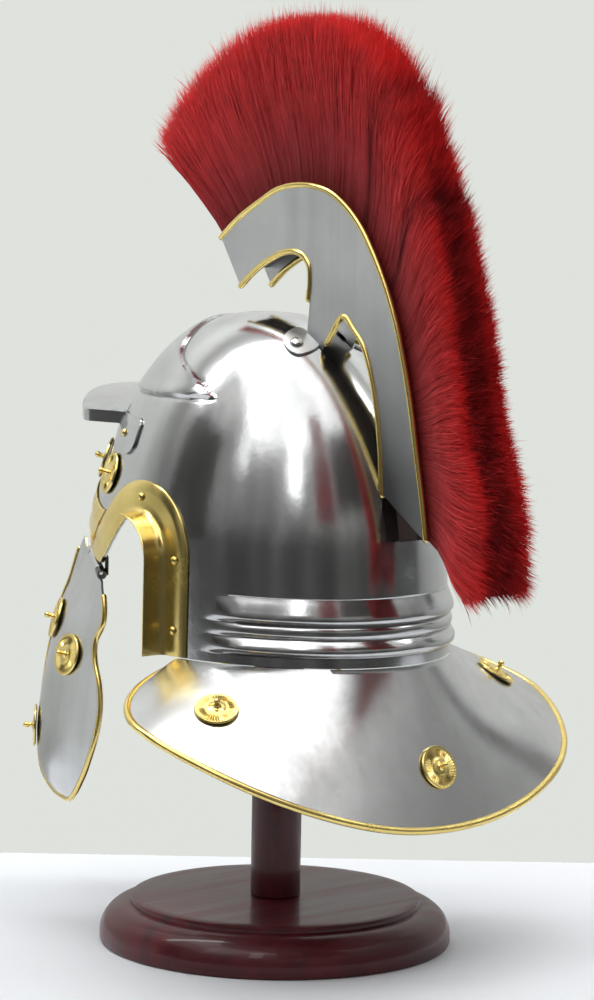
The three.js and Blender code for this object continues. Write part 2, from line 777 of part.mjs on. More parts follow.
function placeGuardRosette(name, degrees, share, side) {
  const { point, normal } = guardRosette(degrees, share);
  if (degrees === 0) normal.setX(0).normalize();
  point.addScaledVector(normal, ROSETTE_LIFT);
  point.x *= side;
  normal.x *= side;
  place(name, standing(rosette, point, normal), brass);
}

placeGuardRosette('neck_rosette_centre', 0, 0.66, 1);
placeGuardRosette('neck_rosette_left', 54, 0.5, 1);
placeGuardRosette('neck_rosette_right', 54, 0.5, -1);

// Cheek guards: height down from the hinge, rear and front edges, outward swing and bulge
const cheekRows = [
  { depth: 0.00, rear: -0.238, front: 0.417, swing: 0.00, bulge: 0.06 },
  { depth: 0.06, rear: -0.333, front: 0.464, swing: -0.04, bulge: 0.21 },
  { depth: 0.15, rear: -0.369, front: 0.500, swing: -0.08, bulge: 0.46 },
  { depth: 0.25, rear: -0.321, front: 0.524, swing: 0.00, bulge: 0.71 },
  { depth: 0.35, rear: -0.357, front: 0.524, swing: 0.08, bulge: 0.85 },
  { depth: 0.42, rear: -0.429, front: 0.500, swing: 0.21, bulge: 0.92 },
  { depth: 0.50, rear: -0.470, front: 0.500, swing: 0.33, bulge: 0.96 },
  { depth: 0.62, rear: -0.482, front: 0.536, swing: 0.50, bulge: 1.00 },
  { depth: 0.76, rear: -0.452, front: 0.548, swing: 0.71, bulge: 0.98 },
  { depth: 0.89, rear: -0.381, front: 0.476, swing: 0.88, bulge: 0.83 },
  { depth: 0.96, rear: -0.286, front: 0.381, swing: 0.92, bulge: 0.67 },
  { depth: 1.00, rear: -0.179, front: 0.286, swing: 1.00, bulge: 0.46 },
];

function hingeFrame() {
  const z = RIM_Z + BROW_RIM_RISE / 4;
  const middle = bowlPoint(HINGE_DEGREES, z, -WALL / 2);
  const along = bowlPoint(HINGE_DEGREES + 1, z, 0).sub(bowlPoint(HINGE_DEGREES - 1, z, 0));
  along.setZ(0).normalize();
  const outward = new THREE.Vector3(-along.y, along.x, 0);
  const axis = along.clone().multiplyScalar(Math.cos(radians(HINGE_TILT_DEGREES)));
  axis.z = Math.sin(radians(HINGE_TILT_DEGREES));
  middle.z = rimHeight(middle.y) - HINGE_DROP;
  return { middle, along, outward, axis };
}

const hinge = hingeFrame();

// A point of the cheek guard's outer face; across runs from the rear edge to the front edge
function cheekPoint(row, across) {
  const s = lerp(row.rear, row.front, across) * CHEEK_WIDTH;
  const wrap = Math.sin(CHEEK_WRAP * (s / CHEEK_WIDTH + 0.5));
  const n = row.swing * CHEEK_SWING + row.bulge * CHEEK_BULGE * wrap;
  const point = hinge.middle.clone().addScaledVector(hinge.along, s);
  point.addScaledVector(hinge.outward, n);
  const topDrop = KNUCKLE_RADIUS + GAP - s * Math.tan(radians(HINGE_TILT_DEGREES)) * (1 - row.depth);
  const horn = smooth(s, 1.2 * HINGE_LENGTH / 2, CHEEK_WIDTH / 2) * Math.max(0, 1 - 6 * row.depth);
  point.z += CHEEK_HORN * horn - topDrop - row.depth * CHEEK_HEIGHT;
  return point;
}

function mirrored(geometry, side) {
  if (side > 0) return geometry;
  const copy = geometry.clone().scale(-1, 1, 1);
  const index = copy.index;
  for (let i = 0; i < index.count; i += 3) {
    const kept = index.getX(i + 1);
    index.setX(i + 1, index.getX(i + 2));
    index.setX(i + 2, kept);
  }
  return copy;
}

const cheekShares = [0, 0.2, 0.4, 0.6, 0.8, 1];

function cheekInward(row, across) {
  const step = 0.02;
  const side = cheekPoint(row, across + step).sub(cheekPoint(row, across - step));
  const out = new THREE.Vector3(-side.y, side.x, 0).normalize();
  return out.dot(hinge.outward) > 0 ? out.negate() : out;
}

function tubeAlong(start, end, radius, bore) {
  const sides = 8;
  const axis = end.clone().sub(start).normalize();
  const middle = start.clone().lerp(end, 0.5);
  const profile = [
    [bore, -0.5], [radius, -0.5], [radius, 0.5], [bore, 0.5], [bore, -0.5],
  ].map(([x, y]) => new THREE.Vector2(x, y * start.distanceTo(end)));
  return standing(bare(new THREE.LatheGeometry(profile, sides)), middle, axis);
}

function rodAlong(start, end, radius) {
  const axis = end.clone().sub(start);
  const rod = new THREE.CylinderGeometry(radius, radius, axis.length(), 8);
  return standing(bare(rod), start.clone().lerp(end, 0.5), axis.clone().normalize());
}

function buildCheekGuard() {
  const rings = cheekRows.map((row) => {
    const outer = cheekShares.map((across) => cheekPoint(row, across));
    const inner = cheekShares.slice().reverse().map((across) =>
      cheekPoint(row, across).addScaledVector(cheekInward(row, across), CHEEK_SHEET));
    return outer.concat(inner);
  });
  const plate = toSolid(sheetLoft(rings));
  const half = KNUCKLE_SHARE * HINGE_LENGTH;
  const start = hinge.middle.clone().addScaledVector(hinge.axis, -half);
  const end = hinge.middle.clone().addScaledVector(hinge.axis, half);
  const knuckle = toSolid(tubeAlong(start, end, KNUCKLE_RADIUS, KNUCKLE_BORE));
  const neckDepth = 3 * KNUCKLE_RADIUS;
  const corner = (along, depth, out) => hinge.middle.clone()
    .addScaledVector(hinge.axis, along)
    .addScaledVector(hinge.outward, out)
    .add(new THREE.Vector3(0, 0, -depth));
  const neckRing = (along) => [
    corner(along, KNUCKLE_BORE + GAP, 0),
    corner(along, neckDepth, 0),
    corner(along, neckDepth, -CHEEK_SHEET),
    corner(along, KNUCKLE_BORE + GAP, -CHEEK_SHEET),
  ];
  const flat = [[0, 0], [0, -1], [1, -1], [1, 0]].map(([x, y]) => new THREE.Vector2(x, y));
  const clear = KNUCKLE_RADIUS * Math.sin(radians(HINGE_TILT_DEGREES)) + GAP;
  const neck = toSolid(loft([neckRing(clear - half), neckRing(half - clear)], flat));
  return toGeometry(plate.add(knuckle).add(neck));
}

function buildCheekEdging() {
  const radius = CHEEK_EDGING_DIAMETER / 2;
  const middleOf = (row, across) => cheekPoint(row, across)
    .addScaledVector(cheekInward(row, across), CHEEK_SHEET / 2);
  const rows = cheekRows.slice(1);
  const last = rows[rows.length - 1];
  const back = rows.slice().reverse();
  const edge = rows.map((row) => middleOf(row, 0))
    .concat([middleOf(last, 0.5)], back.map((row) => middleOf(row, 1)));
  const inside = rows.map((row) => middleOf(row, 0.1))
    .concat([middleOf(rows[rows.length - 2], 0.5)], back.map((row) => middleOf(row, 0.9)));
  return bar(beadPath(edge, inside, radius), radius, () => hinge.outward);
}

const cheekRosettes = [
  { name: 'upper', depth: 0.30, across: 0.84 },
  { name: 'middle', depth: 0.37, across: 0.35 },
  { name: 'lower', depth: 0.75, across: 0.84 },
];

function cheekRowAt(depth) {
  const row = { depth };
  for (const column of ['rear', 'front', 'swing', 'bulge']) {
    row[column] = tableAt(cheekRows, 'depth', depth, column);
  }
  return row;
}

function cheekRosette(row) {
  const reach = 0.08;
  const at = (depth, across) => cheekPoint(cheekRowAt(depth), across);
  const point = at(row.depth, row.across);
  const side = at(row.depth, row.across + reach).sub(at(row.depth, row.across - reach));
  const down = at(row.depth + reach, row.across).sub(at(row.depth - reach, row.across));
  const normal = new THREE.Vector3().crossVectors(side, down).normalize();
  if (normal.dot(hinge.outward) < 0) normal.negate();
  point.addScaledVector(normal, ROSETTE_LIFT);
  return standing(rosette, point, normal);
}

// Hinge: a leaf inside the bowl that rolls into a knuckle at each end, and the pin
function buildHinge() {
  const half = HINGE_LENGTH / 2;
  const inner = KNUCKLE_SHARE * HINGE_LENGTH + GAP;
  const at = (share) => hinge.middle.clone().addScaledVector(hinge.axis, share);
  const pieces = [toSolid(rodAlong(at(-half), at(half), PIN_RADIUS))];
  for (const sign of [-1, 1]) {
    pieces.push(toSolid(rodAlong(at(sign * inner), at(sign * half), KNUCKLE_RADIUS)));
    const face = -KNUCKLE_RADIUS;
    const section = [
      [-PIN_RADIUS, 0], [face - LEAF_SHEET, 0], [face - LEAF_SHEET, LEAF_HEIGHT],
      [face, LEAF_HEIGHT], [face, PIN_RADIUS], [-PIN_RADIUS, PIN_RADIUS],
    ].map(([x, y]) => new THREE.Vector2(x, y));
    const ring = (along) => section.map((s) => at(along)
      .addScaledVector(hinge.outward, s.x).add(new THREE.Vector3(0, 0, s.y)));
    pieces.push(toSolid(loft([ring(sign * inner), ring(sign * half)], section)));
  }
  return toGeometry(pieces.reduce((sum, next) => sum.add(next)));
}

const cheekGuard = buildCheekGuard();
const cheekEdging = buildCheekEdging();
const hingeSolid = buildHinge();

for (const { name, side } of sideNames) {
  place(`hinge_${name}`, mirrored(hingeSolid, side), steel);
  place(`cheek_guard_${name}`, mirrored(cheekGuard, side), steel);
  place(`cheek_edging_${name}`, mirrored(cheekEdging, side), brass);
  for (const row of cheekRosettes) {
    place(`cheek_rosette_${row.name}_${name}`, mirrored(cheekRosette(row), side), brass);
  }
}

// Crest: side outline of the plates as shares of the crest's length and height
const crestOuter = [
  { along: 0.000, height: 0.827 },
  { along: 0.085, height: 0.888 },
  { along: 0.184, height: 0.941 },
  { along: 0.281, height: 0.985 },
  { along: 0.368, height: 1.000 },
  { along: 0.449, height: 1.000 },
  { along: 0.524, height: 0.985 },
  { along: 0.595, height: 0.950 },
  { along: 0.670, height: 0.891 },
  { along: 0.719, height: 0.832 },
  { along: 0.768, height: 0.762 },
  { along: 0.811, height: 0.688 },
  { along: 0.843, height: 0.619 },
  { along: 0.870, height: 0.545 },
  { along: 0.908, height: 0.420 },
  { along: 0.946, height: 0.257 },
  { along: 0.978, height: 0.114 },
  { along: 1.000, height: 0.000 },
];
const crestArch = [
  { along: 0.811, height: 0.114 },
  { along: 0.800, height: 0.250 },
  { along: 0.773, height: 0.391 },
  { along: 0.741, height: 0.490 },
  { along: 0.703, height: 0.560 },
  { along: 0.654, height: 0.604 },
  { along: 0.600, height: 0.639 },
  { along: 0.562, height: 0.599 },
  { along: 0.520, height: 0.552 },
  { along: 0.481, height: 0.480 },
];
const crestHook = [
  { along: 0.427, height: 0.520 },
  { along: 0.443, height: 0.668 },
  { along: 0.449, height: 0.728 },
  { along: 0.443, height: 0.772 },
  { along: 0.416, height: 0.802 },
  { along: 0.368, height: 0.817 },
  { along: 0.308, height: 0.812 },
  { along: 0.238, height: 0.787 },
  { along: 0.162, height: 0.748 },
  { along: 0.092, height: 0.698 },
];

function crestPoint(row) {
  return new THREE.Vector2(
    CREST_FRONT_Y + row.along * CREST_LENGTH, CREST_END_Z + row.height * CREST_HEIGHT);
}

// Bent foot of a plate, as shares of its width and of half its length
const footShape = [
  { out: 0.0, along: -1.0 },
  { out: 0.6, along: -1.0 },
  { out: 0.9, along: -0.6 },
  { out: 1.0, along: 0.0 },
  { out: 0.9, along: 0.6 },
  { out: 0.6, along: 1.0 },
  { out: 0.0, along: 1.0 },
];

function buildCrestPlate() {
  const outline = [...crestOuter, ...crestArch, ...crestHook].map(crestPoint);
  const start = CREST_WIDTH / 2;
  const plate = toSolid(sidePrism(outline, start, CREST_SHEET));
  const footOutline = footShape.map((row) => new THREE.Vector2(
    start + row.out * FOOT_WIDTH, FOOT_Y + row.along * FOOT_LENGTH / 2));
  const standingPrism = prism(footOutline, HALF_LENGTH,
    new THREE.Matrix4().makeTranslation(0, 0, WIDEST_Z));
  const foot = sheetOnBowl(standingPrism, GAP, CREST_SHEET);
  return toGeometry(plate.subtract(domeSolid(GAP, NAPE_Z, 0)).add(foot));
}

// Brass edging along one run of the outline
function crestEdging(rows, side, swell) {
  const radius = CREST_EDGING_DIAMETER / 2;
  const x = CREST_WIDTH / 2 + CREST_SHEET / 2;
  const flat = rows.map(crestPoint);
  const path = flat.map((p, i) => {
    const before = flat[Math.max(i - 1, 0)];
    const after = flat[Math.min(i + 1, flat.length - 1)];
    const along = after.clone().sub(before).normalize();
    const out = new THREE.Vector2(-along.y, along.x).multiplyScalar(side * (radius + GAP));
    return new THREE.Vector3(x, p.x + out.x, p.y + out.y);
  });
  const bead = toSolid(bar(path, radius + swell, () => new THREE.Vector3(1, 0, 0)));
  return toGeometry(bead.subtract(domeSolid(GAP, NAPE_Z, 1)));
}

const crestPlate = buildCrestPlate();
const crestRuns = [
  { name: 'outer', rows: crestOuter, side: 1 },
  { name: 'arch', rows: crestArch.slice(0, -1), side: 1 },
  { name: 'hook', rows: crestHook.slice(1), side: 1 },
];

for (const { name, side } of sideNames) {
  place(`crest_plate_${name}`, mirrored(crestPlate, side), steel);
  for (const run of crestRuns) {
    const bead = mirrored(crestEdging(run.rows, run.side, 0), side);
    place(`crest_edging_${run.name}_${name}`, bead, brass);
  }
  const rivetX = CREST_WIDTH / 2 + FOOT_RIVET_SHARE * FOOT_WIDTH;
  const share = Math.hypot(rivetX / HALF_WIDTH, (FOOT_Y - HELMET_Y) / HALF_LENGTH);
  const z = crownHeight(share, 0);
  const { point, normal } = onBowl(FOOT_Y, z, side, GAP + CREST_SHEET);
  const head = rivetAt(point, normal, CREST_RIVET_RADIUS, CREST_RIVET_HEIGHT);
  place(`crest_rivet_${name}`, head, steel);
}

// Wooden core between the plates, under the hair
function inset(rows, depth) {
  const flat = rows.map(crestPoint);
  return flat.map((p, i) => {
    const before = flat[Math.max(i - 1, 0)];
    const after = flat[Math.min(i + 1, flat.length - 1)];
    const along = after.clone().sub(before).normalize();
    return p.clone().add(new THREE.Vector2(along.y, -along.x).multiplyScalar(depth));
  });
}

const blockTop = inset(crestOuter, HAIR_ROOT_DEPTH + HAIR_GAP);
const blockLow = inset(crestOuter, BLOCK_DEPTH).reverse();
const blockWidth = CREST_WIDTH - 2 * GAP;
const block = toSolid(sidePrism([...blockTop, ...blockLow], -blockWidth / 2, blockWidth))
  .subtract(domeSolid(GAP, NAPE_Z, 1));
place('crest_block', toGeometry(block), blockWood);

// Hair: place along the crest, lean of the lock from upright and its length
const hairRows = [
  { along: 0.00, lean: -35, length: 0.77 },
  { along: 0.08, lean: -28, length: 0.88 },
  { along: 0.16, lean: -17, length: 0.94 },
  { along: 0.25, lean: -6, length: 0.97 },
  { along: 0.34, lean: 5, length: 0.97 },
  { along: 0.42, lean: 14, length: 0.89 },
  { along: 0.50, lean: 24, length: 0.75 },
  { along: 0.58, lean: 35, length: 0.63 },
  { along: 0.66, lean: 49, length: 0.55 },
  { along: 0.74, lean: 65, length: 0.49 },
  { along: 0.82, lean: 82, length: 0.48 },
  { along: 0.90, lean: 98, length: 0.57 },
  { along: 1.00, lean: 122, length: 0.62 },
];

const crestCurve = new THREE.CatmullRomCurve3(
  inset(crestOuter, 0).map((p) => new THREE.Vector3(0, p.x, p.y)));

function hairLock(share, index) {
  const root = crestCurve.getPointAt(share);
  const lean = radians(tableAt(hairRows, 'along', share, 'lean'));
  const uneven = index % 2 === 0 ? 1 : 0.96;
  const length = HAIR_LENGTH * tableAt(hairRows, 'along', share, 'length') * uneven;
  const up = new THREE.Vector3(0, Math.sin(lean), Math.cos(lean));
  const across = new THREE.Vector3(0, Math.cos(lean), -Math.sin(lean));
  const edgingInside = (CREST_WIDTH + CREST_SHEET - CREST_EDGING_DIAMETER) / 2;
  const rootHalf = edgingInside - HAIR_GAP;
  const clearOfEdging = CREST_EDGING_DIAMETER + 3 * GAP;
  const tipHalf = lerp(HAIR_TOP_WIDTH, HAIR_TAIL_WIDTH, share) / 2;
  const pitch = crestCurve.getLength() / LOCKS;
  const bands = [
    { rise: -HAIR_ROOT_DEPTH, half: rootHalf, span: 0.54 * pitch },
    { rise: clearOfEdging, half: rootHalf, span: 0.58 * pitch },
    { rise: 0.88 * length, half: tipHalf, span: 0.96 * pitch },
    { rise: length, half: 0.7 * tipHalf, span: 0.5 * pitch },
  ];
  const section = [[-1, -1], [1, -1], [1, 1], [-1, 1]].map(([x, y]) => new THREE.Vector2(x, y));
  const rings = bands.map((band) => section.map((s) => root.clone()
    .addScaledVector(up, band.rise)
    .addScaledVector(across, s.y * band.span)
    .add(new THREE.Vector3(s.x * band.half, 0, 0))));
  return loft(rings, section);
}

function buildPlume() {
  const locks = [];
  for (let i = 0; i < LOCKS; i += 1) {
    locks.push(toSolid(hairLock((i + 0.5) / LOCKS, i)));
  }
  const whole = locks.reduce((sum, next) => sum.add(next));
  const keepOut = domeSolid(GAP, NAPE_Z, 1)
    .add(toSolid(sidePrism([...inset(crestOuter, HAIR_ROOT_DEPTH),
      ...inset(crestOuter, 2 * BLOCK_DEPTH).reverse()], -REACH_PAST, 2 * REACH_PAST)));
  const edging = crestEdging(crestOuter, 1, HAIR_GAP);
  const trimmed = whole.subtract(keepOut)
    .subtract(toSolid(edging))
    .subtract(toSolid(mirrored(edging, -1)));
  const parts = trimmed.decompose();
  return toGeometry(parts.reduce((big, next) => (next.volume() > big.volume() ? next : big)));
}

place('plume', buildPlume(), horsehair);

// Stand
function buildBase() {
  const steps = 5;
  const profile = [
    new THREE.Vector2(0, 0),
    new THREE.Vector2(BASE_RADIUS - BASE_STEP, 0),
    new THREE.Vector2(BASE_RADIUS, BASE_STEP),
    new THREE.Vector2(BASE_RADIUS, BASE_FOOT_HEIGHT),
  ];
  const shoulder = BASE_HEIGHT - 2 * BASE_STEP;
  for (let i = 1; i <= steps; i += 1) {
    const angle = (Math.PI / 2) * (i / steps);
    profile.push(new THREE.Vector2(
      BASE_TOP_RADIUS + (BASE_RADIUS - BASE_TOP_RADIUS) * Math.cos(angle),
      BASE_FOOT_HEIGHT + (shoulder - BASE_FOOT_HEIGHT) * Math.sin(angle)));
  }
  profile.push(new THREE.Vector2(BASE_TOP_RADIUS - BASE_STEP / 2, shoulder));
  profile.push(new THREE.Vector2(BASE_TOP_RADIUS - BASE_STEP / 2, BASE_HEIGHT - BASE_STEP / 2));
  profile.push(new THREE.Vector2(BASE_TOP_RADIUS - BASE_STEP, BASE_HEIGHT));
  profile.push(new THREE.Vector2(0, BASE_HEIGHT));
  const turned = bare(new THREE.LatheGeometry(profile, 30));
  return turned.rotateX(Math.PI / 2);
}

function buildPost() {
  const r = POST_DIAMETER / 2;
  const head = POST_HEAD_DIAMETER / 2;
  const share = Math.hypot(head / HALF_WIDTH, (head - HELMET_Y) / HALF_LENGTH);
  const shoulder = crownHeight(share, -WALL) - POST_HEAD_HEIGHT;
  const profile = [
    [0, BASE_HEIGHT + GAP], [r, BASE_HEIGHT + GAP], [r, shoulder],
    [head, shoulder + POST_HEAD_FLARE], [head, CROWN_Z], [0, CROWN_Z],
  ].map(([x, z]) => new THREE.Vector2(x, z));
  const turned = bare(new THREE.LatheGeometry(profile, 16)).rotateX(Math.PI / 2);
  return toGeometry(toSolid(turned).intersect(domeSolid(-WALL - GAP, 0, 0)));
}

place('stand_base', buildBase(), wood);
place('stand_post', buildPost(), wood);

export default group;
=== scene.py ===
"""Looks of the roman legionary helmet on its display stand.

Sizes are in millimetres until a mesh is made. The helmet faces -Y and +Z is up.
"""
import math

import bpy
import numpy as np
from mathutils import Matrix, Vector


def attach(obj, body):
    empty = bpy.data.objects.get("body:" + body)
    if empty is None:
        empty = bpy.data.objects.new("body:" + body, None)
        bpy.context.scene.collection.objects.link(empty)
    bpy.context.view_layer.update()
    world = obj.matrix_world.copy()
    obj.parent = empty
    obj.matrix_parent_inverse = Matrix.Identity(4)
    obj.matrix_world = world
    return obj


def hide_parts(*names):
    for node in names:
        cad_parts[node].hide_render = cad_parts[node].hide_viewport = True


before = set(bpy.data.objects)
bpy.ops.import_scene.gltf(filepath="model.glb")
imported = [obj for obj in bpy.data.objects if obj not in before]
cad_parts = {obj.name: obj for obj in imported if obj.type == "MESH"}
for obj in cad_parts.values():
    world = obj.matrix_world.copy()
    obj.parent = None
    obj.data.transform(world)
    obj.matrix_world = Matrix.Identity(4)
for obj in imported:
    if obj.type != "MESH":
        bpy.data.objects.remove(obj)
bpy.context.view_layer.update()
rng = np.random.default_rng(7)

MM = 0.001
GAP = 0.4

# Bowl
HELMET_Y = -13.0
HALF_LENGTH = 126.0
HALF_WIDTH = 95.0
WALL = 1.5
CROWN_Z = 392.0
WIDEST_Z = 259.0
NAPE_Z = 189.0
ROUNDNESS = 2.5
SLOPE = 1.3
NAPE_SPREAD = 4.0
RIM_Z = 236.0
BROW_RIM_RISE = 17.0
RIB_TOP_Z = 230.0
RIB_BAND = 35.0
RIB_RELIEF = 3.2
BROW_RELIEF = 2.2

# Ear guards
EAR_Y = -25.0
EAR_Z = 247.0
EAR_RADIUS = 25.0
EAR_FRONT = math.radians(135.0)
EAR_PLATE = 20.0
EAR_FLANGE = 16.0
EAR_SHEET = 1.1

# Peak
PEAK_Z = 327.0
PEAK_RISE = 10.0
PEAK_REACH = 44.0
PEAK_SIDE = 14.0
PEAK_HALF_DEGREES = 46.0
PEAK_RIM = 7.5
PEAK_SHEET = 1.3
LUG_LENGTH = 36.0
LUG_HEIGHT = 22.0

# Neck guard
GUARD_REACH = 182.4
GUARD_DROP = 90.0
GUARD_SHEET = 1.6
GUARD_INNER_DEGREES = 73.0
GUARD_CROWN = 1.5
GUARD_BEAD = 2.3

# Rosettes and rivets
ROSETTE_RADIUS = 13.3
RIVET_RADIUS = 2.6
RIVET_HEIGHT = 1.7

# Cheek guards and hinges
CHEEK_HEIGHT = 142.0
CHEEK_WIDTH = 84.0
CHEEK_BULGE = 24.0
CHEEK_WRAP = 2.12
CHEEK_HORN = 8.0
CHEEK_SWING = 12.0
CHEEK_SHEET = 1.4
CHEEK_BEAD = 1.8
HINGE_LENGTH = 40.0
HINGE_TILT = math.radians(16.0)
KNUCKLE = 3.1
KNUCKLE_BORE = 1.9
PIN = 1.4

# Crest
CREST_Y = -45.0
CREST_Z = 268.0
CREST_LENGTH = 185.0
CREST_HEIGHT = 202.0
CREST_HALF = 12.0
CREST_SHEET = 1.2
CREST_BEAD = 2.0
FOOT_Y = 37.0
HAIR_LENGTH = 106.0

# Stand
BASE_RADIUS = 109.4
BASE_TOP = 91.6
BASE_HEIGHT = 28.5
POST_RADIUS = 15.5


# Curves and surfaces
def smooth(value, low, high):
    share = np.clip((np.asarray(value, float) - low) / (high - low), 0, 1)
    return share * share * (3 - 2 * share)


def curve_at(knots, values, at):
    """A smooth curve through values at knots, read at the given places."""
    knots = np.asarray(knots, float)
    values = np.asarray(values, float)
    at = np.clip(at, knots[0], knots[-1])
    slopes = np.gradient(values, knots, axis=0)
    i = np.clip(np.searchsorted(knots, at, side="right") - 1, 0, len(knots) - 2)
    width = knots[i + 1] - knots[i]
    t = (at - knots[i]) / width
    if values.ndim > 1:
        t = t[..., None]
        width = width[..., None]
    rise = (1 + 2 * t) * (1 - t) ** 2 * values[i] + t * (1 - t) ** 2 * width * slopes[i]
    return rise + t * t * (3 - 2 * t) * values[i + 1] + t * t * (t - 1) * width * slopes[i + 1]


def through(points, count):
    """Evenly spaced points on a smooth curve through the given ones."""
    points = np.asarray(points, float)
    steps = np.linalg.norm(np.diff(points, axis=0), axis=1)
    knots = np.concatenate([[0], np.cumsum(steps)])
    return curve_at(knots, points, np.linspace(0, knots[-1], count))


def unit(vectors):
    return vectors / np.maximum(np.linalg.norm(vectors, axis=-1, keepdims=True), 1e-9)


def grid_normals(grid):
    return unit(np.cross(np.gradient(grid, axis=0), np.gradient(grid, axis=1)))


def grid_faces(rows, columns, closed=False, start=0):
    i = np.arange(rows - 1)[:, None]
    j = np.arange(columns if closed else columns - 1)[None, :]
    a = start + i * columns + j
    b = start + i * columns + (j + 1) % columns
    return np.stack([a, b, b + columns, a + columns], -1).reshape(-1, 4)


def volume_sign(points, faces):
    corners = np.asarray([face[:3] for face in faces])
    a, b, c = (points[corners[:, k]] for k in range(3))
    return np.sum(a * np.cross(b, c))


def shell(outer, inner):
    """A sheet between two grids of the same size."""
    rows, columns = outer.shape[:2]
    points = np.concatenate([outer.reshape(-1, 3), inner.reshape(-1, 3)])
    size = rows * columns
    loop = np.concatenate([
        np.arange(columns),
        np.arange(1, rows) * columns + columns - 1,
        (rows - 1) * columns + np.arange(columns - 2, -1, -1),
        np.arange(rows - 2, 0, -1) * columns,
    ])
    after = np.roll(loop, -1)
    wall = np.stack([after, loop, loop + size, after + size], -1)
    faces = np.concatenate([
        grid_faces(rows, columns),
        grid_faces(rows, columns, start=size)[:, ::-1],
        wall[:, ::-1],
    ])
    return points, faces.tolist()


def tube_through(rings):
    """A closed skin through rings of equal length, with flat ends."""
    rings = np.asarray(rings, float)
    count, sides = rings.shape[:2]
    faces = grid_faces(count, sides, closed=True).tolist()
    faces.append(list(range(sides))[::-1])
    faces.append(list(range((count - 1) * sides, count * sides)))
    return rings.reshape(-1, 3), faces


def lathe(profile, sides, flute=None):
    """Turns (radius, height) rows about +Z; a flute gives height per row and angle."""
    profile = np.asarray(profile, float)
    angle = np.linspace(0, 2 * math.pi, sides, endpoint=False)
    radius = np.maximum(profile[:, 0], 0.01)[:, None]
    height = profile[:, 1][:, None] + (flute(radius, angle[None, :]) if flute else 0 * angle)
    rings = np.stack([
        radius * np.cos(angle), radius * np.sin(angle), height + 0 * radius * angle], -1)
    return tube_through(rings)


def standing(part, point, normal):
    """Moves a part that stands on +Z so that it stands on the normal at a point."""
    points, faces = part
    turn = Vector((0, 0, 1)).rotation_difference(Vector(normal)).to_matrix()
    return points @ np.array(turn).T + np.asarray(point), faces


def bead(path, radius, sides=12):
    """A round bar along a path, with rounded ends."""
    path = np.asarray(path, float)
    along = unit(np.gradient(path, axis=0))
    side = unit(np.cross(along[0], [0.31, 0.17, 0.93]))
    angle = np.linspace(0, 2 * math.pi, sides, endpoint=False)
    rings = []
    for i, point in enumerate(path):
        side = unit(side - along[i] * np.dot(side, along[i]))
        up = np.cross(along[i], side)
        ring = np.outer(np.cos(angle), side) + np.outer(np.sin(angle), up)
        rings.append((point, ring, along[i]))
    ends = [(-0.9, 0.45), (-0.55, 0.84)]
    made = [rings[0][0] + rings[0][2] * radius * back + rings[0][1] * radius * size
            for back, size in ends]
    made += [point + ring * radius for point, ring, _ in rings]
    made += [rings[-1][0] - rings[-1][2] * radius * back + rings[-1][1] * radius * size
             for back, size in reversed(ends)]
    return tube_through(made)


def merged(parts):
    points = []
    faces = []
    start = 0
    for part_points, part_faces in parts:
        points.append(part_points)
        faces += [[k + start for k in face] for face in part_faces]
        start += len(part_points)
    return np.concatenate(points), faces


def outward(part):
    points, faces = part
    if volume_sign(points, faces) < 0:
        faces = [face[::-1] for face in faces]
    return points, faces


def mirror(part, side):
    points, faces = part
    if side > 0:
        return part
    return points * np.array([-1, 1, 1]), [face[::-1] for face in faces]


def make_mesh(name, part):
    points, faces = part
    mesh = bpy.data.meshes.new(name)
    mesh.from_pydata((np.asarray(points) * MM).tolist(), [], faces)
    mesh.validate()
    return mesh


def make_object(name, part):
    made = bpy.data.objects.new(name, make_mesh(name, part))
    bpy.context.scene.collection.objects.link(made)
    return made


def dress(piece, material, body, nodes, angle=35):
    """Gives a piece its finish and ties it to the frame."""
    piece.data.shade_smooth()
    piece.data.set_sharp_from_angle(angle=math.radians(angle))
    piece.data.materials.clear()
    piece.data.materials.append(material)
    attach(piece, body)
    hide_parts(*nodes)
    return piece


def add(name, part, material, nodes, body="root", angle=35):
    return dress(make_object(name, part), material, body, nodes, angle)


def carved(name, part, steps):
    """A solid after a run of cuts and joins with other closed solids."""
    piece = make_object(name, outward(part))
    for operation, other in steps:
        tool = make_object(name + "_tool", outward(other))
        modifier = piece.modifiers.new("step", "BOOLEAN")
        modifier.operation = operation
        modifier.solver = "MANIFOLD"
        modifier.object = tool
        graph = bpy.context.evaluated_depsgraph_get()
        mesh = bpy.data.meshes.new_from_object(piece.evaluated_get(graph))
        piece.modifiers.clear()
        spare = piece.data
        piece.data = mesh
        bpy.data.meshes.remove(spare)
        bpy.data.objects.remove(tool)
    return piece


def side_prism(outline, start, end):
    """A (y, z) outline pushed along X."""
    outline = np.asarray(outline, float)
    rings = [np.column_stack([np.full(len(outline), x), outline]) for x in (start, end)]
    return tube_through(rings)


def plan_prism(outline, low, high):
    outline = np.asarray(outline, float)
    rings = [np.column_stack([outline, np.full(len(outline), z)]) for z in (low, high)]
    return tube_through(rings)


def round_corners(outline, radius, steps=5):
    """Cuts each corner of a closed outline back and rounds it."""
    outline = np.asarray(outline, float)
    made = []
    for i, corner in enumerate(outline):
        before = outline[i - 1] - corner
        after = outline[(i + 1) % len(outline)] - corner
        reach = min(radius, 0.45 * np.linalg.norm(before), 0.45 * np.linalg.norm(after))
        start = corner + before / np.linalg.norm(before) * reach
        end = corner + after / np.linalg.norm(after) * reach
        for t in np.linspace(0, 1, steps):
            made.append((1 - t) ** 2 * start + 2 * t * (1 - t) * corner + t * t * end)
    return np.array(made)


# Shape of the bowl
BLEND_STEPS = np.linspace(-1, 1, 13)
BLEND_REACH = 15.0


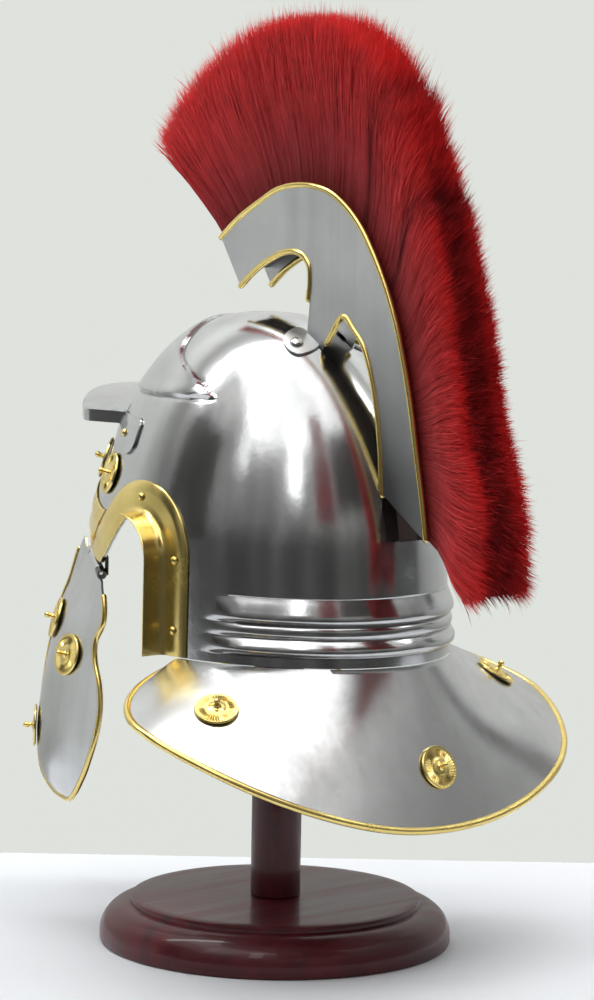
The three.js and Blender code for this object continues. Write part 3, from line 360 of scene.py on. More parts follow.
def crown_share(z, lift=0.0):
    """How far out the wall stands at a height; the curve is eased at the widest place."""
    z = np.asarray(z, float)
    reach = BLEND_REACH * (1 - smooth(z, 285, 330))
    near = z[..., None] + reach[..., None] * BLEND_STEPS
    rise = np.clip((near - WIDEST_Z) / (CROWN_Z + lift - WIDEST_Z), 0, 1)
    return np.mean((1 - rise ** SLOPE) ** (1 / ROUNDNESS), axis=-1)


def crown_height(share, lift=0.0):
    return WIDEST_Z + (CROWN_Z + lift - WIDEST_Z) * (1 - share ** ROUNDNESS) ** (1 / SLOPE)


RIB_PROFILE = np.array([
    [0.00, -0.12], [0.03, 0.00], [0.12, 0.38], [0.22, 0.74], [0.30, 0.98], [0.36, 1.00],
    [0.41, 0.72], [0.455, 0.10], [0.50, 0.42], [0.58, 0.56], [0.64, 0.42], [0.69, 0.06],
    [0.76, 0.50], [0.84, 0.95], [0.91, 1.00], [0.96, 0.70], [1.00, 0.05]])


def rib_relief(z, degrees):
    depth = (RIB_TOP_Z - z) / RIB_BAND
    fade = 1 - smooth(degrees, 56, 70)
    inside = (depth > 0) & (depth < 1)
    return RIB_RELIEF * fade * inside * curve_at(RIB_PROFILE[:, 0], RIB_PROFILE[:, 1], depth)


def bowl_at(degrees, z, lift=0.0, ribs=0, share=None):
    """Points of the bowl, at angles from the back toward +X."""
    degrees = np.asarray(degrees, float)
    z = np.asarray(z, float)
    share = crown_share(z, lift) if share is None else share
    around = np.where(degrees > 180, 360 - degrees, degrees)
    angle = np.radians(degrees)
    spread = NAPE_SPREAD * (1 - smooth(z, NAPE_Z, WIDEST_Z)) * np.maximum(0, np.cos(angle))
    extra = lift + spread + (rib_relief(z, around) if ribs else 0)
    return np.stack(np.broadcast_arrays(
        (HALF_WIDTH + extra) * share * np.sin(angle),
        HELMET_Y + (HALF_LENGTH + extra) * share * np.cos(angle),
        z), -1)


def degrees_at(y, z):
    cosine = np.clip((np.asarray(y) - HELMET_Y) / (HALF_LENGTH * crown_share(z)), -1, 1)
    return np.degrees(np.arccos(cosine))


def bowl_normal(degrees, z):
    base = bowl_at(degrees, z)
    around = bowl_at(degrees + 0.5, z) - base
    up = bowl_at(degrees, z + 0.5) - base
    return unit(np.cross(up, around))


def on_bowl(y, z, side, lift):
    degrees = degrees_at(y, z)
    normal = bowl_normal(degrees, z)
    point = bowl_at(degrees, z) + normal * lift
    return point * [side, 1, 1], normal * [side, 1, 1]


def dome(lift, bottom, columns, low_rows, top_rows, shape=None, ribs=0):
    """A closed solid of the bowl's outer form; top_rows is a count or a list of heights."""
    if np.isscalar(top_rows):
        top_rows = crown_height(np.sin(np.linspace(0.01, math.pi / 2, top_rows)), lift)
    z = np.concatenate([top_rows, low_rows, [bottom]])[:, None]
    grid = bowl_at(columns[None, :], z, lift, ribs)
    if shape is not None:
        grid = shape(grid)
    return outward(tube_through(grid))


# The rear edge of the raised forehead, as shares ahead of its tip and above its foot
BROW_TIP = EAR_Y + EAR_RADIUS + EAR_PLATE / 2
BROW_BACK = np.array([
    [0.50, 1.00], [0.40, 0.76], [0.36, 0.60], [0.32, 0.45], [0.25, 0.35], [0.12, 0.22],
    [0.00, 0.06]])
BROW_FOOT = np.array([[0.00, 0.04], [0.16, 0.02], [0.45, 0.00], [1.20, 0.00], [1.20, 1.10],
                      [0.55, 1.10]])


def brow_outline():
    rear = through(BROW_BACK, 40)
    shares = np.concatenate([rear, BROW_FOOT])
    return np.column_stack([BROW_TIP - 150 * shares[:, 0], 341 + 60 * shares[:, 1]])


def inside_distance(points, outline):
    """Distance to an outline, positive inside."""
    start = outline
    end = np.roll(outline, -1, axis=0)
    best = np.full(len(points), 1e9)
    inside = np.zeros(len(points), bool)
    for a, b in zip(start, end):
        run = b - a
        share = np.clip(((points - a) @ run) / max(run @ run, 1e-9), 0, 1)
        best = np.minimum(best, np.linalg.norm(points - a - share[:, None] * run, axis=1))
        crosses = (a[1] > points[:, 1]) != (b[1] > points[:, 1])
        height = b[1] - a[1] if b[1] != a[1] else 1e-9
        at = a[0] + (points[:, 1] - a[1]) * (b[0] - a[0]) / height
        inside ^= crosses & (points[:, 0] < at)
    return np.where(inside, best, -best)


def raise_brow(grid):
    rows, columns = grid.shape[:2]
    flat = grid.reshape(-1, 3)
    distance = inside_distance(flat[:, 1:], brow_outline())
    foot = np.abs(flat[:, 2] - 341)
    step = smooth(distance, 0.0, 1.5)
    groove = np.exp(-((distance + 0.7) / 0.8) ** 2)
    roll = np.exp(-((distance - 4.5) / 3.0) ** 2) * (1 - smooth(foot, 6, 14))
    relief = BROW_RELIEF * step - 0.4 * groove * (flat[:, 2] < 391) + 0.25 * roll
    closed = np.concatenate([grid[:, -1:], grid, grid[:, :1]], axis=1)
    normals = grid_normals(closed)[:, 1:-1]
    away = np.sum(normals * (grid - [0, HELMET_Y, WIDEST_Z]), -1, keepdims=True)
    normals = np.where(away < 0, -normals, normals)
    return grid + normals * relief.reshape(rows, columns, 1)


def ear_opening(radius, bottom, steps=40):
    """A straight leg behind, an arch and a slope in front."""
    angle = np.linspace(EAR_FRONT, 0, steps)
    points = np.column_stack([EAR_Y + radius * np.cos(angle), EAR_Z + radius * np.sin(angle)])
    fall = points[0, 1] - bottom
    return np.concatenate([
        [[points[0, 0] - fall, bottom]], points, [[EAR_Y + radius, bottom]]])


def rim_height(y):
    return RIM_Z + BROW_RIM_RISE * smooth(-np.asarray(y), 70, 137.5)


def face_outline(lift):
    y = np.linspace(-70, -139, 30)
    rise = np.column_stack([y, rim_height(y) + lift])
    return np.concatenate([
        [[EAR_Y - EAR_RADIUS, 0], [EAR_Y - EAR_RADIUS, RIM_Z + lift]], rise,
        [[-265, rim_height(-139) + lift], [-265, 0]]])


# Materials
class Nodes:
    """Short calls for building a node material."""

    def __init__(self, name):
        self.material = bpy.data.materials.new(name)
        self.material.use_nodes = True
        self.tree = self.material.node_tree
        self.shader = self.tree.nodes["Principled BSDF"]
        self.place = self.new("ShaderNodeTexCoord").outputs["Object"]

    def new(self, kind, **settings):
        node = self.tree.nodes.new(kind)
        for key, value in settings.items():
            setattr(node, key, value)
        return node

    def join(self, source, target):
        self.tree.links.new(source, target)

    def stretched(self, scale):
        mapping = self.new("ShaderNodeMapping")
        mapping.inputs["Scale"].default_value = scale
        self.join(self.place, mapping.inputs["Vector"])
        return mapping.outputs["Vector"]

    def noise(self, scale, detail=3.0, rough=0.5, place=None):
        node = self.new("ShaderNodeTexNoise")
        node.inputs["Scale"].default_value = scale
        node.inputs["Detail"].default_value = detail
        node.inputs["Roughness"].default_value = rough
        self.join(place or self.place, node.inputs["Vector"])
        return node.outputs["Fac"]

    def ramp(self, source, stops):
        node = self.new("ShaderNodeValToRGB")
        items = node.color_ramp.elements
        while len(items) < len(stops):
            items.new(0.5)
        for item, (place, color) in zip(items, stops):
            item.position = place
            item.color = color if len(color) == 4 else (*color, 1)
        self.join(source, node.inputs["Fac"])
        return node.outputs["Color"]

    def spread(self, source, low, high, start=0.3, end=0.7):
        node = self.new("ShaderNodeMapRange")
        node.inputs["From Min"].default_value = start
        node.inputs["From Max"].default_value = end
        node.inputs["To Min"].default_value = low
        node.inputs["To Max"].default_value = high
        self.join(source, node.inputs["Value"])
        return node.outputs["Result"]

    def mix(self, share, first, second, blend="MIX"):
        node = self.new("ShaderNodeMix", data_type="RGBA", blend_type=blend)
        for socket, value in ((node.inputs["Factor"], share), (node.inputs["A"], first),
                              (node.inputs["B"], second)):
            if isinstance(value, bpy.types.NodeSocket):
                self.join(value, socket)
            elif isinstance(value, tuple):
                socket.default_value = (*value, 1)
            else:
                socket.default_value = value
        return node.outputs["Result"]

    def bump(self, source, strength, distance, before=None):
        node = self.new("ShaderNodeBump")
        node.inputs["Strength"].default_value = strength
        node.inputs["Distance"].default_value = distance
        self.join(source, node.inputs["Height"])
        if before is not None:
            self.join(before, node.inputs["Normal"])
        return node.outputs["Normal"]

    def finish(self, color=None, roughness=None, normal=None, **uniform):
        for socket, value in (("Base Color", color), ("Roughness", roughness),
                              ("Normal", normal)):
            if value is not None:
                self.join(value, self.shader.inputs[socket])
        for key, value in uniform.items():
            self.shader.inputs[key.replace("_", " ")].default_value = value
        return self.material


def steel_material(name, light, dark, rough_low, rough_high, wave, darker_below=None):
    """Ground steel; the last argument gives the heights between which the colour darkens
    downward.
    """
    n = Nodes(name)
    streaks = n.noise(60, 4, 0.6, n.stretched((1, 1, 0.06)))
    cloud = n.noise(14, 5, 0.6)
    fine = n.noise(900, 2, 0.5, n.stretched((1, 1, 0.1)))
    color = n.mix(n.spread(cloud, 0, 1), light, dark)
    color = n.mix(n.spread(streaks, 0, 0.35, 0.45, 0.75), color, tuple(0.75 * c for c in dark))
    # Painted shade: concave creases such as rib lines and the brow crease are darkened to near
    # black, read from the mesh's pointiness.
    crease_shade = n.new("ShaderNodeNewGeometry").outputs["Pointiness"]
    color = n.mix(n.spread(crease_shade, 0.9, 0, 0.440, 0.488), color, (0.06, 0.055, 0.055))
    # Darker toward the bottom between the given heights; used on the crest plates.
    if darker_below:
        height = n.new("ShaderNodeSeparateXYZ")
        n.join(n.place, height.inputs["Vector"])
        share = n.spread(height.outputs["Z"], 0.92, 0, darker_below[0] * MM, darker_below[1] * MM)
        color = n.mix(share, color, tuple(0.30 * c for c in dark))
    rough = n.spread(n.mix(0.5, cloud, streaks), rough_low, rough_high, 0.35, 0.65)
    soft = n.bump(cloud, 0.5, wave)
    normal = n.bump(fine, 0.12, 0.00004, soft)
    return n.finish(color, rough, normal, Metallic=1.0)


def brass_material(name):
    n = Nodes(name)
    cloud = n.noise(40, 5, 0.6)
    spots = n.noise(260, 3, 0.6)
    fine = n.noise(1500, 2, 0.5)
    color = n.mix(n.spread(cloud, 0, 1), (0.90, 0.72, 0.27), (0.78, 0.60, 0.20))
    color = n.mix(n.spread(spots, 0, 0.35, 0.6, 0.8), color, (0.46, 0.31, 0.09))
    rough = n.spread(cloud, 0.16, 0.28, 0.35, 0.65)
    soft = n.bump(cloud, 0.3, 0.0003)
    return n.finish(color, rough, n.bump(fine, 0.15, 0.00004, soft), Metallic=1.0)


def varnish_material(name):
    n = Nodes(name)
    grain = n.noise(16, 6, 0.6, n.stretched((0.35, 5, 1)))
    pores = n.noise(500, 3, 0.6, n.stretched((0.15, 1, 1)))
    color = n.ramp(grain, [
        (0.30, (0.034, 0.004, 0.006)), (0.52, (0.072, 0.006, 0.009)),
        (0.72, (0.100, 0.009, 0.012))])
    rough = n.spread(grain, 0.3, 0.45)
    normal = n.bump(pores, 0.12, 0.00012)
    return n.finish(color, rough, normal, Coat_Weight=0.3, Coat_Roughness=0.06,
                    Specular_IOR_Level=0.25)


def core_material(name):
    n = Nodes(name)
    grain = n.noise(40, 5, 0.6, n.stretched((1, 0.15, 1)))
    color = n.ramp(grain, [(0.3, (0.014, 0.007, 0.006)), (0.7, (0.05, 0.022, 0.016))])
    return n.finish(color, n.spread(grain, 0.5, 0.8), n.bump(grain, 0.3, 0.0006))


def hair_material(name):
    n = Nodes(name)
    place = n.new("ShaderNodeAttribute", attribute_name="along").outputs["Fac"]
    shade = n.new("ShaderNodeAttribute", attribute_name="shade").outputs["Fac"]
    # Painted shade: the colour runs from dark at the roots, deep in the plume, to bright red at
    # the tips.
    color = n.ramp(place, [
        (0.0, (0.15, 0.016, 0.018)), (0.25, (0.42, 0.034, 0.038)),
        (0.65, (0.74, 0.042, 0.046)), (1.0, (0.98, 0.050, 0.050))])
    # The shade attribute darkens strands: painted shade in the middle of the end face and at the
    # partings, plus a random tone per strand.
    color = n.mix(n.spread(shade, 0, 1, 0, 1), color, (0.055, 0.006, 0.009))
    cloud = n.noise(55, 4, 0.6)
    color = n.mix(n.spread(cloud, 0, 0.35, 0.45, 0.75), color, (0.16, 0.012, 0.014))
    rough = n.spread(cloud, 0.5, 0.7)
    return n.finish(color, rough, n.bump(cloud, 0.2, 0.0005), Specular_IOR_Level=0.22)


POLISHED = steel_material("polished_steel", (0.62, 0.63, 0.635), (0.50, 0.505, 0.51), 0.12,
                          0.22, 0.0008)
GUARD = steel_material("guard_steel", (0.66, 0.67, 0.675), (0.54, 0.545, 0.55), 0.19, 0.28,
                       0.0007)
SATIN = steel_material("crest_steel", (0.70, 0.71, 0.715), (0.58, 0.59, 0.595), 0.32, 0.42,
                       0.0003, (300, 420))
BRASS = brass_material("brass")
VARNISH = varnish_material("varnished_wood")
CORE = core_material("core_wood")
HAIR = hair_material("horsehair")


# Camera, at the photo's angle
def set_camera():
    heading = math.radians(48)
    pitch = math.radians(6.95)
    roll = math.radians(1.0)
    distance = 2500.6
    level = np.array([-math.cos(heading), -math.sin(heading), 0])
    right = np.array([-math.sin(heading), math.cos(heading), 0])
    up = np.array([0, 0, 1.0])
    ahead = level * math.cos(pitch) - up * math.sin(pitch)
    upward = up * math.cos(pitch) + level * math.sin(pitch)
    x_axis = right * math.cos(roll) + upward * math.sin(roll)
    y_axis = np.cross(ahead, x_axis)
    turn = np.array([x_axis, y_axis, ahead])
    foot = np.array([-22.5, 439.0, 4000.0]) / 4000 * distance
    place = -turn.T @ foot
    data = bpy.data.cameras.new("camera")
    data.lens = 144
    data.sensor_width = 36
    camera = bpy.data.objects.new("camera", data)
    bpy.context.scene.collection.objects.link(camera)
    columns = np.column_stack([x_axis, -y_axis, -ahead])
    camera.matrix_world = Matrix.Translation(Vector(place * MM)) @ Matrix(columns).to_4x4()
    data.clip_end = 30
    bpy.context.scene.camera = camera
    return level, right


VIEW_LEVEL, VIEW_RIGHT = set_camera()


# Floor, wall and light
BACKDROP_RADIUS = 14000.0


def stage_material(name, color, spot):
    n = Nodes(name)
    cloud = n.noise(3, 4, 0.5)
    weave = n.noise(400, 3, 0.5)
    shade = n.mix(n.spread(cloud, 0, 1), color, spot)
    return n.finish(shade, n.spread(cloud, 0.6, 0.8), n.bump(weave, 0.1, 0.0003))


def set_stage():
    across = VIEW_RIGHT * 3200
    back = VIEW_LEVEL
    near = -back * 420
    far = back * 243
    floor = np.array([near - across, near + across, far + across, far - across])
    board = make_object("floor", (floor, [[0, 1, 2, 3]]))
    board.data.materials.append(stage_material("floor_white", (0.78, 0.80, 0.84),
                                               (0.74, 0.76, 0.80)))
    base = back * 460 + np.array([0, 0, -300.0])
    high = np.array([0, 0, 3200.0])
    wall = np.array([base - across, base + across, base + across + high, base - across + high])
    panel = make_object("bounce_wall", (wall, [[0, 1, 2, 3]]))
    panel.data.materials.append(stage_material("wall_white", (0.80, 0.81, 0.785),
                                               (0.76, 0.77, 0.75)))
    panel.visible_camera = False
    set_backdrop(near, across)
    dark = stage_material("screen_dark", (0.05, 0.045, 0.04), (0.03, 0.028, 0.027))
    red = stage_material("screen_red", (0.30, 0.035, 0.045), (0.16, 0.02, 0.025))
    for name, right, toward, up, width, height, cloth in (
            ("screen_left", -2000, 450, 950, 900, 1250, dark),
            ("screen_right", 900, -390, 620, 190, 330, dark),
            ("screen_near", 700, 960, 1180, 760, 800, dark),
            ("screen_red", 190, 1150, 1230, 300, 1150, red)):
        screen = card(name, from_view(right, toward, up), width, height)
        screen.data.materials.append(cloth)
        screen.visible_camera = False
    pale = card("screen_pale", from_view(-1500, -160, 240), 900, 560)
    pale.data.materials.append(panel.data.materials[0])
    pale.visible_camera = False


def set_backdrop(near, across):
    """A pale wall all round and the front of the table, seen by the camera alone."""
    angle = np.linspace(0, 2 * math.pi, 96, endpoint=False)
    ring = np.column_stack([np.cos(angle), np.sin(angle)]) * BACKDROP_RADIUS
    rows = np.array([np.column_stack([ring, np.full(96, z)]) for z in (-14000.0, 12000.0)])
    faces = grid_faces(2, 96, closed=True).tolist()
    around = make_object("wall", (rows.reshape(-1, 3), faces))
    glow = stage_material("wall_pale", (0.02, 0.02, 0.02), (0.02, 0.02, 0.02))
    shader = glow.node_tree.nodes["Principled BSDF"]
    shader.inputs["Emission Color"].default_value = (0.760, 0.785, 0.740, 1)
    shader.inputs["Emission Strength"].default_value = 0.96
    around.data.materials.append(glow)
    front = near / np.linalg.norm(near) * (BACKDROP_RADIUS - 60)
    corners = np.array([near - across, near + across, front + across, front - across])
    table = make_object("floor_front", (corners, [[0, 1, 2, 3]]))
    table.data.materials.append(bpy.data.materials["floor_white"])
    for piece in (around, table):
        piece.visible_glossy = False
        piece.visible_diffuse = False
        piece.visible_shadow = False


def card(name, place, width, height):
    """An upright board at a place, facing the middle."""
    across = unit(np.cross(place * [1, 1, 0], [0, 0, 1])) * width / 2
    up = np.array([0, 0, height / 2])
    corners = np.array([place - across - up, place + across - up, place + across + up,
                        place - across + up])
    return make_object(name, (corners, [[0, 1, 2, 3]]))


def area_light(name, place, target, width, height, power, color=(1, 1, 1)):
    data = bpy.data.lights.new(name, "AREA")
    data.shape = "RECTANGLE"
    data.size = width * MM
    data.size_y = height * MM
    data.energy = power
    data.color = color
    light = bpy.data.objects.new(name, data)
    bpy.context.scene.collection.objects.link(light)
    place = Vector(np.asarray(place) * MM)
    aim = (Vector(np.asarray(target) * MM) - place).to_track_quat("-Z", "Y")
    light.matrix_world = Matrix.Translation(place) @ aim.to_matrix().to_4x4()
    return light


def from_view(right, toward, up):
    """A place given as right of, toward and above the middle, as the camera sees it."""
    return VIEW_RIGHT * right - VIEW_LEVEL * toward + np.array([0, 0, up])


def set_light():
    world = bpy.data.worlds.new("room")
    bpy.context.scene.world = world
    world.use_nodes = True
    tree = world.node_tree
    sky = tree.nodes["Background"]
    place = tree.nodes.new("ShaderNodeTexCoord")
    mapping = tree.nodes.new("ShaderNodeMapping")
    mapping.inputs["Scale"].default_value = (1, 1, 0.25)
    noise = tree.nodes.new("ShaderNodeTexNoise")
    noise.inputs["Scale"].default_value = 4.5
    noise.inputs["Detail"].default_value = 2
    height = tree.nodes.new("ShaderNodeSeparateXYZ")
    share = tree.nodes.new("ShaderNodeMapRange")
    share.inputs["From Min"].default_value = -1
    tiers = tree.nodes.new("ShaderNodeValToRGB")
    set_stops(tiers, [(0.0, 0.16), (0.44, 0.10), (0.53, 0.13), (0.62, 0.30), (0.72, 0.50),
                      (0.86, 0.80), (1.0, 0.95)])
    patches = tree.nodes.new("ShaderNodeValToRGB")
    set_stops(patches, [(0.40, 0.45), (0.62, 1.0)])
    blend = tree.nodes.new("ShaderNodeMix")
    blend.data_type = "RGBA"
    blend.blend_type = "MULTIPLY"
    blend.inputs["Factor"].default_value = 1
    join = tree.links.new
    join(place.outputs["Generated"], mapping.inputs["Vector"])
    join(mapping.outputs["Vector"], noise.inputs["Vector"])
    join(noise.outputs["Fac"], patches.inputs["Fac"])
    join(place.outputs["Generated"], height.inputs["Vector"])
    join(height.outputs["Z"], share.inputs["Value"])
    join(share.outputs["Result"], tiers.inputs["Fac"])
    join(tiers.outputs["Color"], blend.inputs["A"])
    join(patches.outputs["Color"], blend.inputs["B"])
    join(blend.outputs["Result"], sky.inputs["Color"])
    sky.inputs["Strength"].default_value = 1.15
    middle = (0, 0, 300)
    area_light("ceiling", from_view(0, 700, 2600), middle, 3800, 3000, 45)
    area_light("window", lamp_place(-50, 38, 2100), middle, 260, 900, 1.0)
    area_light("tube", lamp_place(-13, 36, 2100), middle, 300, 800, 2.4)
    area_light("wall_light", from_view(0, -60, 1100), from_view(0, -460, 60), 2400, 120, 9)
    bpy.context.scene.view_settings.view_transform = "Standard"


def set_stops(ramp, stops):
    items = ramp.color_ramp.elements
    while len(items) < len(stops):
        items.new(0.5)
    for item, (place, level) in zip(items, stops):
        item.position = place
        item.color = (level, level, level * 0.985, 1)


def lamp_place(right_degrees, up_degrees, distance):
    """A place at angles to the right of the camera and above the level, seen from the bowl."""
    turn = math.radians(right_degrees)
    rise = math.radians(up_degrees)
    level = distance * math.cos(rise)
    return from_view(level * math.sin(turn), level * math.cos(turn),
                     300 + distance * math.sin(rise))


set_stage()
set_light()


# Bowl
def build_bowl():
    half = np.concatenate([np.arange(0, 100, 1.6), np.arange(100, 180, 0.42)])
    columns = np.concatenate([half, 360 - half[half > 0][::-1]])
    top = crown_height(np.linspace(0.01, 0.24, 10))
    high = np.concatenate([top, np.linspace(top[-1], 337, 56)[1:], np.linspace(335, 240, 46)])
    low = np.concatenate([[236, 233], np.linspace(RIB_TOP_Z + 1, NAPE_Z + 4, 62)])
    outer = dome(0, NAPE_Z, columns, low, high, raise_brow, ribs=1)
    coarse = np.linspace(0, 360, 120, endpoint=False)
    inner = dome(-WALL, NAPE_Z - 28, coarse, np.linspace(250, 195, 5), 30)
    ears = side_prism(ear_opening(EAR_RADIUS, NAPE_Z - 30), -190, 190)
    face = side_prism(face_outline(0), -190, 190)
    piece = carved("bowl_steel", outer, [
        ("DIFFERENCE", inner), ("DIFFERENCE", ears), ("DIFFERENCE", face)])
    dress(piece, POLISHED, "root", ["bowl"], 30)


build_bowl()


# Ear guards: plate, fillet and flange, carried round the arch
EAR_SECTION = [
    (EAR_PLATE, GAP), (EAR_PLATE, GAP + 0.8), (EAR_PLATE - 0.4, GAP + EAR_SHEET),
    (14, GAP + EAR_SHEET), (8, GAP + EAR_SHEET), (4.6, GAP + EAR_SHEET + 0.1),
    (3.2, GAP + EAR_SHEET + 0.6), (2.2, GAP + EAR_SHEET + 1.7), (1.6, GAP + EAR_SHEET + 3.2),
    (1.3, 8), (1.1, 12), (1.1, GAP + EAR_FLANGE - 0.3), (0.8, GAP + EAR_FLANGE),
    (0.3, GAP + EAR_FLANGE), (0, GAP + EAR_FLANGE - 0.3), (0, 12), (0, 7), (0, 2.5),
    (0, GAP)]


def ear_slope_foot(radius):
    """How far the front slope runs down, at a radius, before it meets the rim."""
    y = EAR_Y + radius * math.cos(EAR_FRONT)
    top = EAR_Z + radius * math.sin(EAR_FRONT)
    fall = top - RIM_Z
    for _ in range(6):
        fall = top - float(rim_height(y - fall)) - GAP
    return fall


def ear_height(height, angle):
    """The flange runs out to nothing from the top of the arch to its front."""
    sheet = GAP + EAR_SHEET
    fade = 1 - smooth(angle, math.radians(88), math.radians(128))
    return min(height, sheet) + max(height - sheet, 0) * float(fade)


def build_ear_guard(name, side):
    rings = []
    for share in np.linspace(1, 0.04, 14):
        ring = []
        for r, h in EAR_SECTION:
            radius = EAR_RADIUS + r
            fall = ear_slope_foot(radius) * share
            ring.append((EAR_Y + radius * math.cos(EAR_FRONT) - fall,
                         EAR_Z + radius * math.sin(EAR_FRONT) - fall, ear_height(h, EAR_FRONT)))
        rings.append(ring)
    for angle in np.linspace(EAR_FRONT, 0, 56):
        rings.append([(EAR_Y + (EAR_RADIUS + r) * math.cos(angle),
                       EAR_Z + (EAR_RADIUS + r) * math.sin(angle), ear_height(h, angle))
                      for r, h in EAR_SECTION])
    for z in np.linspace(EAR_Z, NAPE_Z + GAP, 24)[1:]:
        rings.append([(EAR_Y + EAR_RADIUS + r, z, h) for r, h in EAR_SECTION])
    rings = np.array(rings)
    base = bowl_at(degrees_at(rings[..., 0], rings[..., 1]), rings[..., 1])
    base[..., 0] += rings[..., 2]
    add(f"ear_guard_{name}_brass", mirror(outward(tube_through(base)), side), BRASS,
        [f"ear_guard_{name}"])


def rivet_part(radius, height):
    angle = np.linspace(0, math.pi / 2, 7)
    profile = np.column_stack([radius * np.cos(angle), height * np.sin(angle)])
    return lathe(np.concatenate([[[radius, 0]], profile]), 24)


SIDES = [("left", 1), ("right", -1)]
EAR_RIVETS = [("top", EAR_Y, EAR_Z + 35), ("middle", EAR_Y + 35, EAR_Z + GAP),
              ("low", EAR_Y + 35, NAPE_Z + 16)]


def build_ear_rivets(name, side):
    for place, y, z in EAR_RIVETS:
        point, normal = on_bowl(y, z, side, 2 * GAP + EAR_SHEET)
        head = standing(rivet_part(RIVET_RADIUS, RIVET_HEIGHT), point, normal)
        add(f"ear_rivet_{place}_{name}_brass", head, BRASS,
            [f"ear_rivet_{place}_{name}"])


for name, side in SIDES:
    build_ear_guard(name, side)
    build_ear_rivets(name, side)


# Brow band, with two pressed lines
def band_end(rise):
    """Where the band meets the front slope of the ear guard, at a height over the rim."""
    radius = EAR_RADIUS + EAR_PLATE + 2 * GAP
    reach = EAR_Y + radius * math.cos(EAR_FRONT) - EAR_Z - radius * math.sin(EAR_FRONT)
    y = np.full(len(rise), -80.0)
    for _ in range(8):
        y = rim_height(y) + GAP + rise + reach
    return degrees_at(y, rim_height(y) + GAP + rise)


def build_brow_band():
    rise = np.concatenate([[0], np.linspace(0.6, 32.2, 44), [32.6]])
    start = band_end(rise)[:, None]
    across = np.linspace(0, 1, 150)[None, :]
    degrees = start + (360 - 2 * start) * across
    base_y = HELMET_Y + HALF_LENGTH * np.cos(np.radians(degrees))
    z = rim_height(base_y) + GAP + rise[:, None]
    wave = 1.0 * np.exp(-((rise - 11) / 2.2) ** 2) + 0.6 * np.exp(-((rise - 23) / 2.0) ** 2)
    edge = 0.35 * smooth(rise, 0, 0.6) * (1 - smooth(rise, 32.2, 32.6))
    lift = GAP + 0.55 + edge + wave
    surface = bowl_at(degrees, z)
    normals = bowl_normal(degrees, z)
    outer = surface + normals * lift[:, None, None]
    inner = surface + normals * GAP
    add("brow_band_brass", outward(shell(outer, inner)), BRASS, ["brow_band"])


build_brow_band()


# Rosettes: a fluted dish with a raised ring, a boss and a knob
def rosette_part():
    r = ROSETTE_RADIUS
    profile = [
        (0.86 * r, 0.0), (0.94 * r, 0.1), (0.985 * r, 0.35), (1.0 * r, 0.75), (0.99 * r, 1.2),
        (0.965 * r, 1.55), (0.94 * r, 1.55), (0.91 * r, 1.45), (0.88 * r, 1.35),
        (0.78 * r, 1.38), (0.68 * r, 1.42), (0.58 * r, 1.46), (0.48 * r, 1.5), (0.42 * r, 1.55),
        (0.385 * r, 1.75), (0.34 * r, 2.0), (0.28 * r, 2.05), (0.2 * r, 2.2), (0.13 * r, 2.7),
        (0.10 * r, 3.6), (0.095 * r, 4.4), (0.125 * r, 5.2), (0.145 * r, 6.2), (0.13 * r, 7.2),
        (0.085 * r, 8.0), (0.03 * r, 8.28)]

    def flute(radius, angle):
        share = radius / r
        belt = smooth(share, 0.42, 0.56) * (1 - smooth(share, 0.86, 0.93))
        return 0.24 * belt * np.cos(40 * angle)

    points, faces = lathe(profile, 160, flute)
    return outward((points, faces))


ROSETTE = rosette_part()


def place_rosette(name, point, normal, body="root"):
    add(name + "_brass", standing(ROSETTE, point, normal), BRASS, [name], body, 40)


for name, side in SIDES:
    for place, degrees, z in (("side", 121, 291), ("front", 143, 296)):
        normal = bowl_normal(degrees, z)
        point = bowl_at(degrees, z) + normal * GAP
        place_rosette(f"brow_rosette_{place}_{name}", point * [side, 1, 1],
                      normal * [side, 1, 1])


# Peak: a shelf with a rounded edge, turned down at the rim and at both ends
def peak_edge(degrees, z, reach=0.0):
    share = crown_share(PEAK_Z)
    angle = np.radians(degrees)
    return np.stack(np.broadcast_arrays(
        (HALF_WIDTH * share + PEAK_SIDE + reach) * np.sin(angle),
        HELMET_Y + (HALF_LENGTH * share + PEAK_REACH + reach) * np.cos(angle), z), -1)


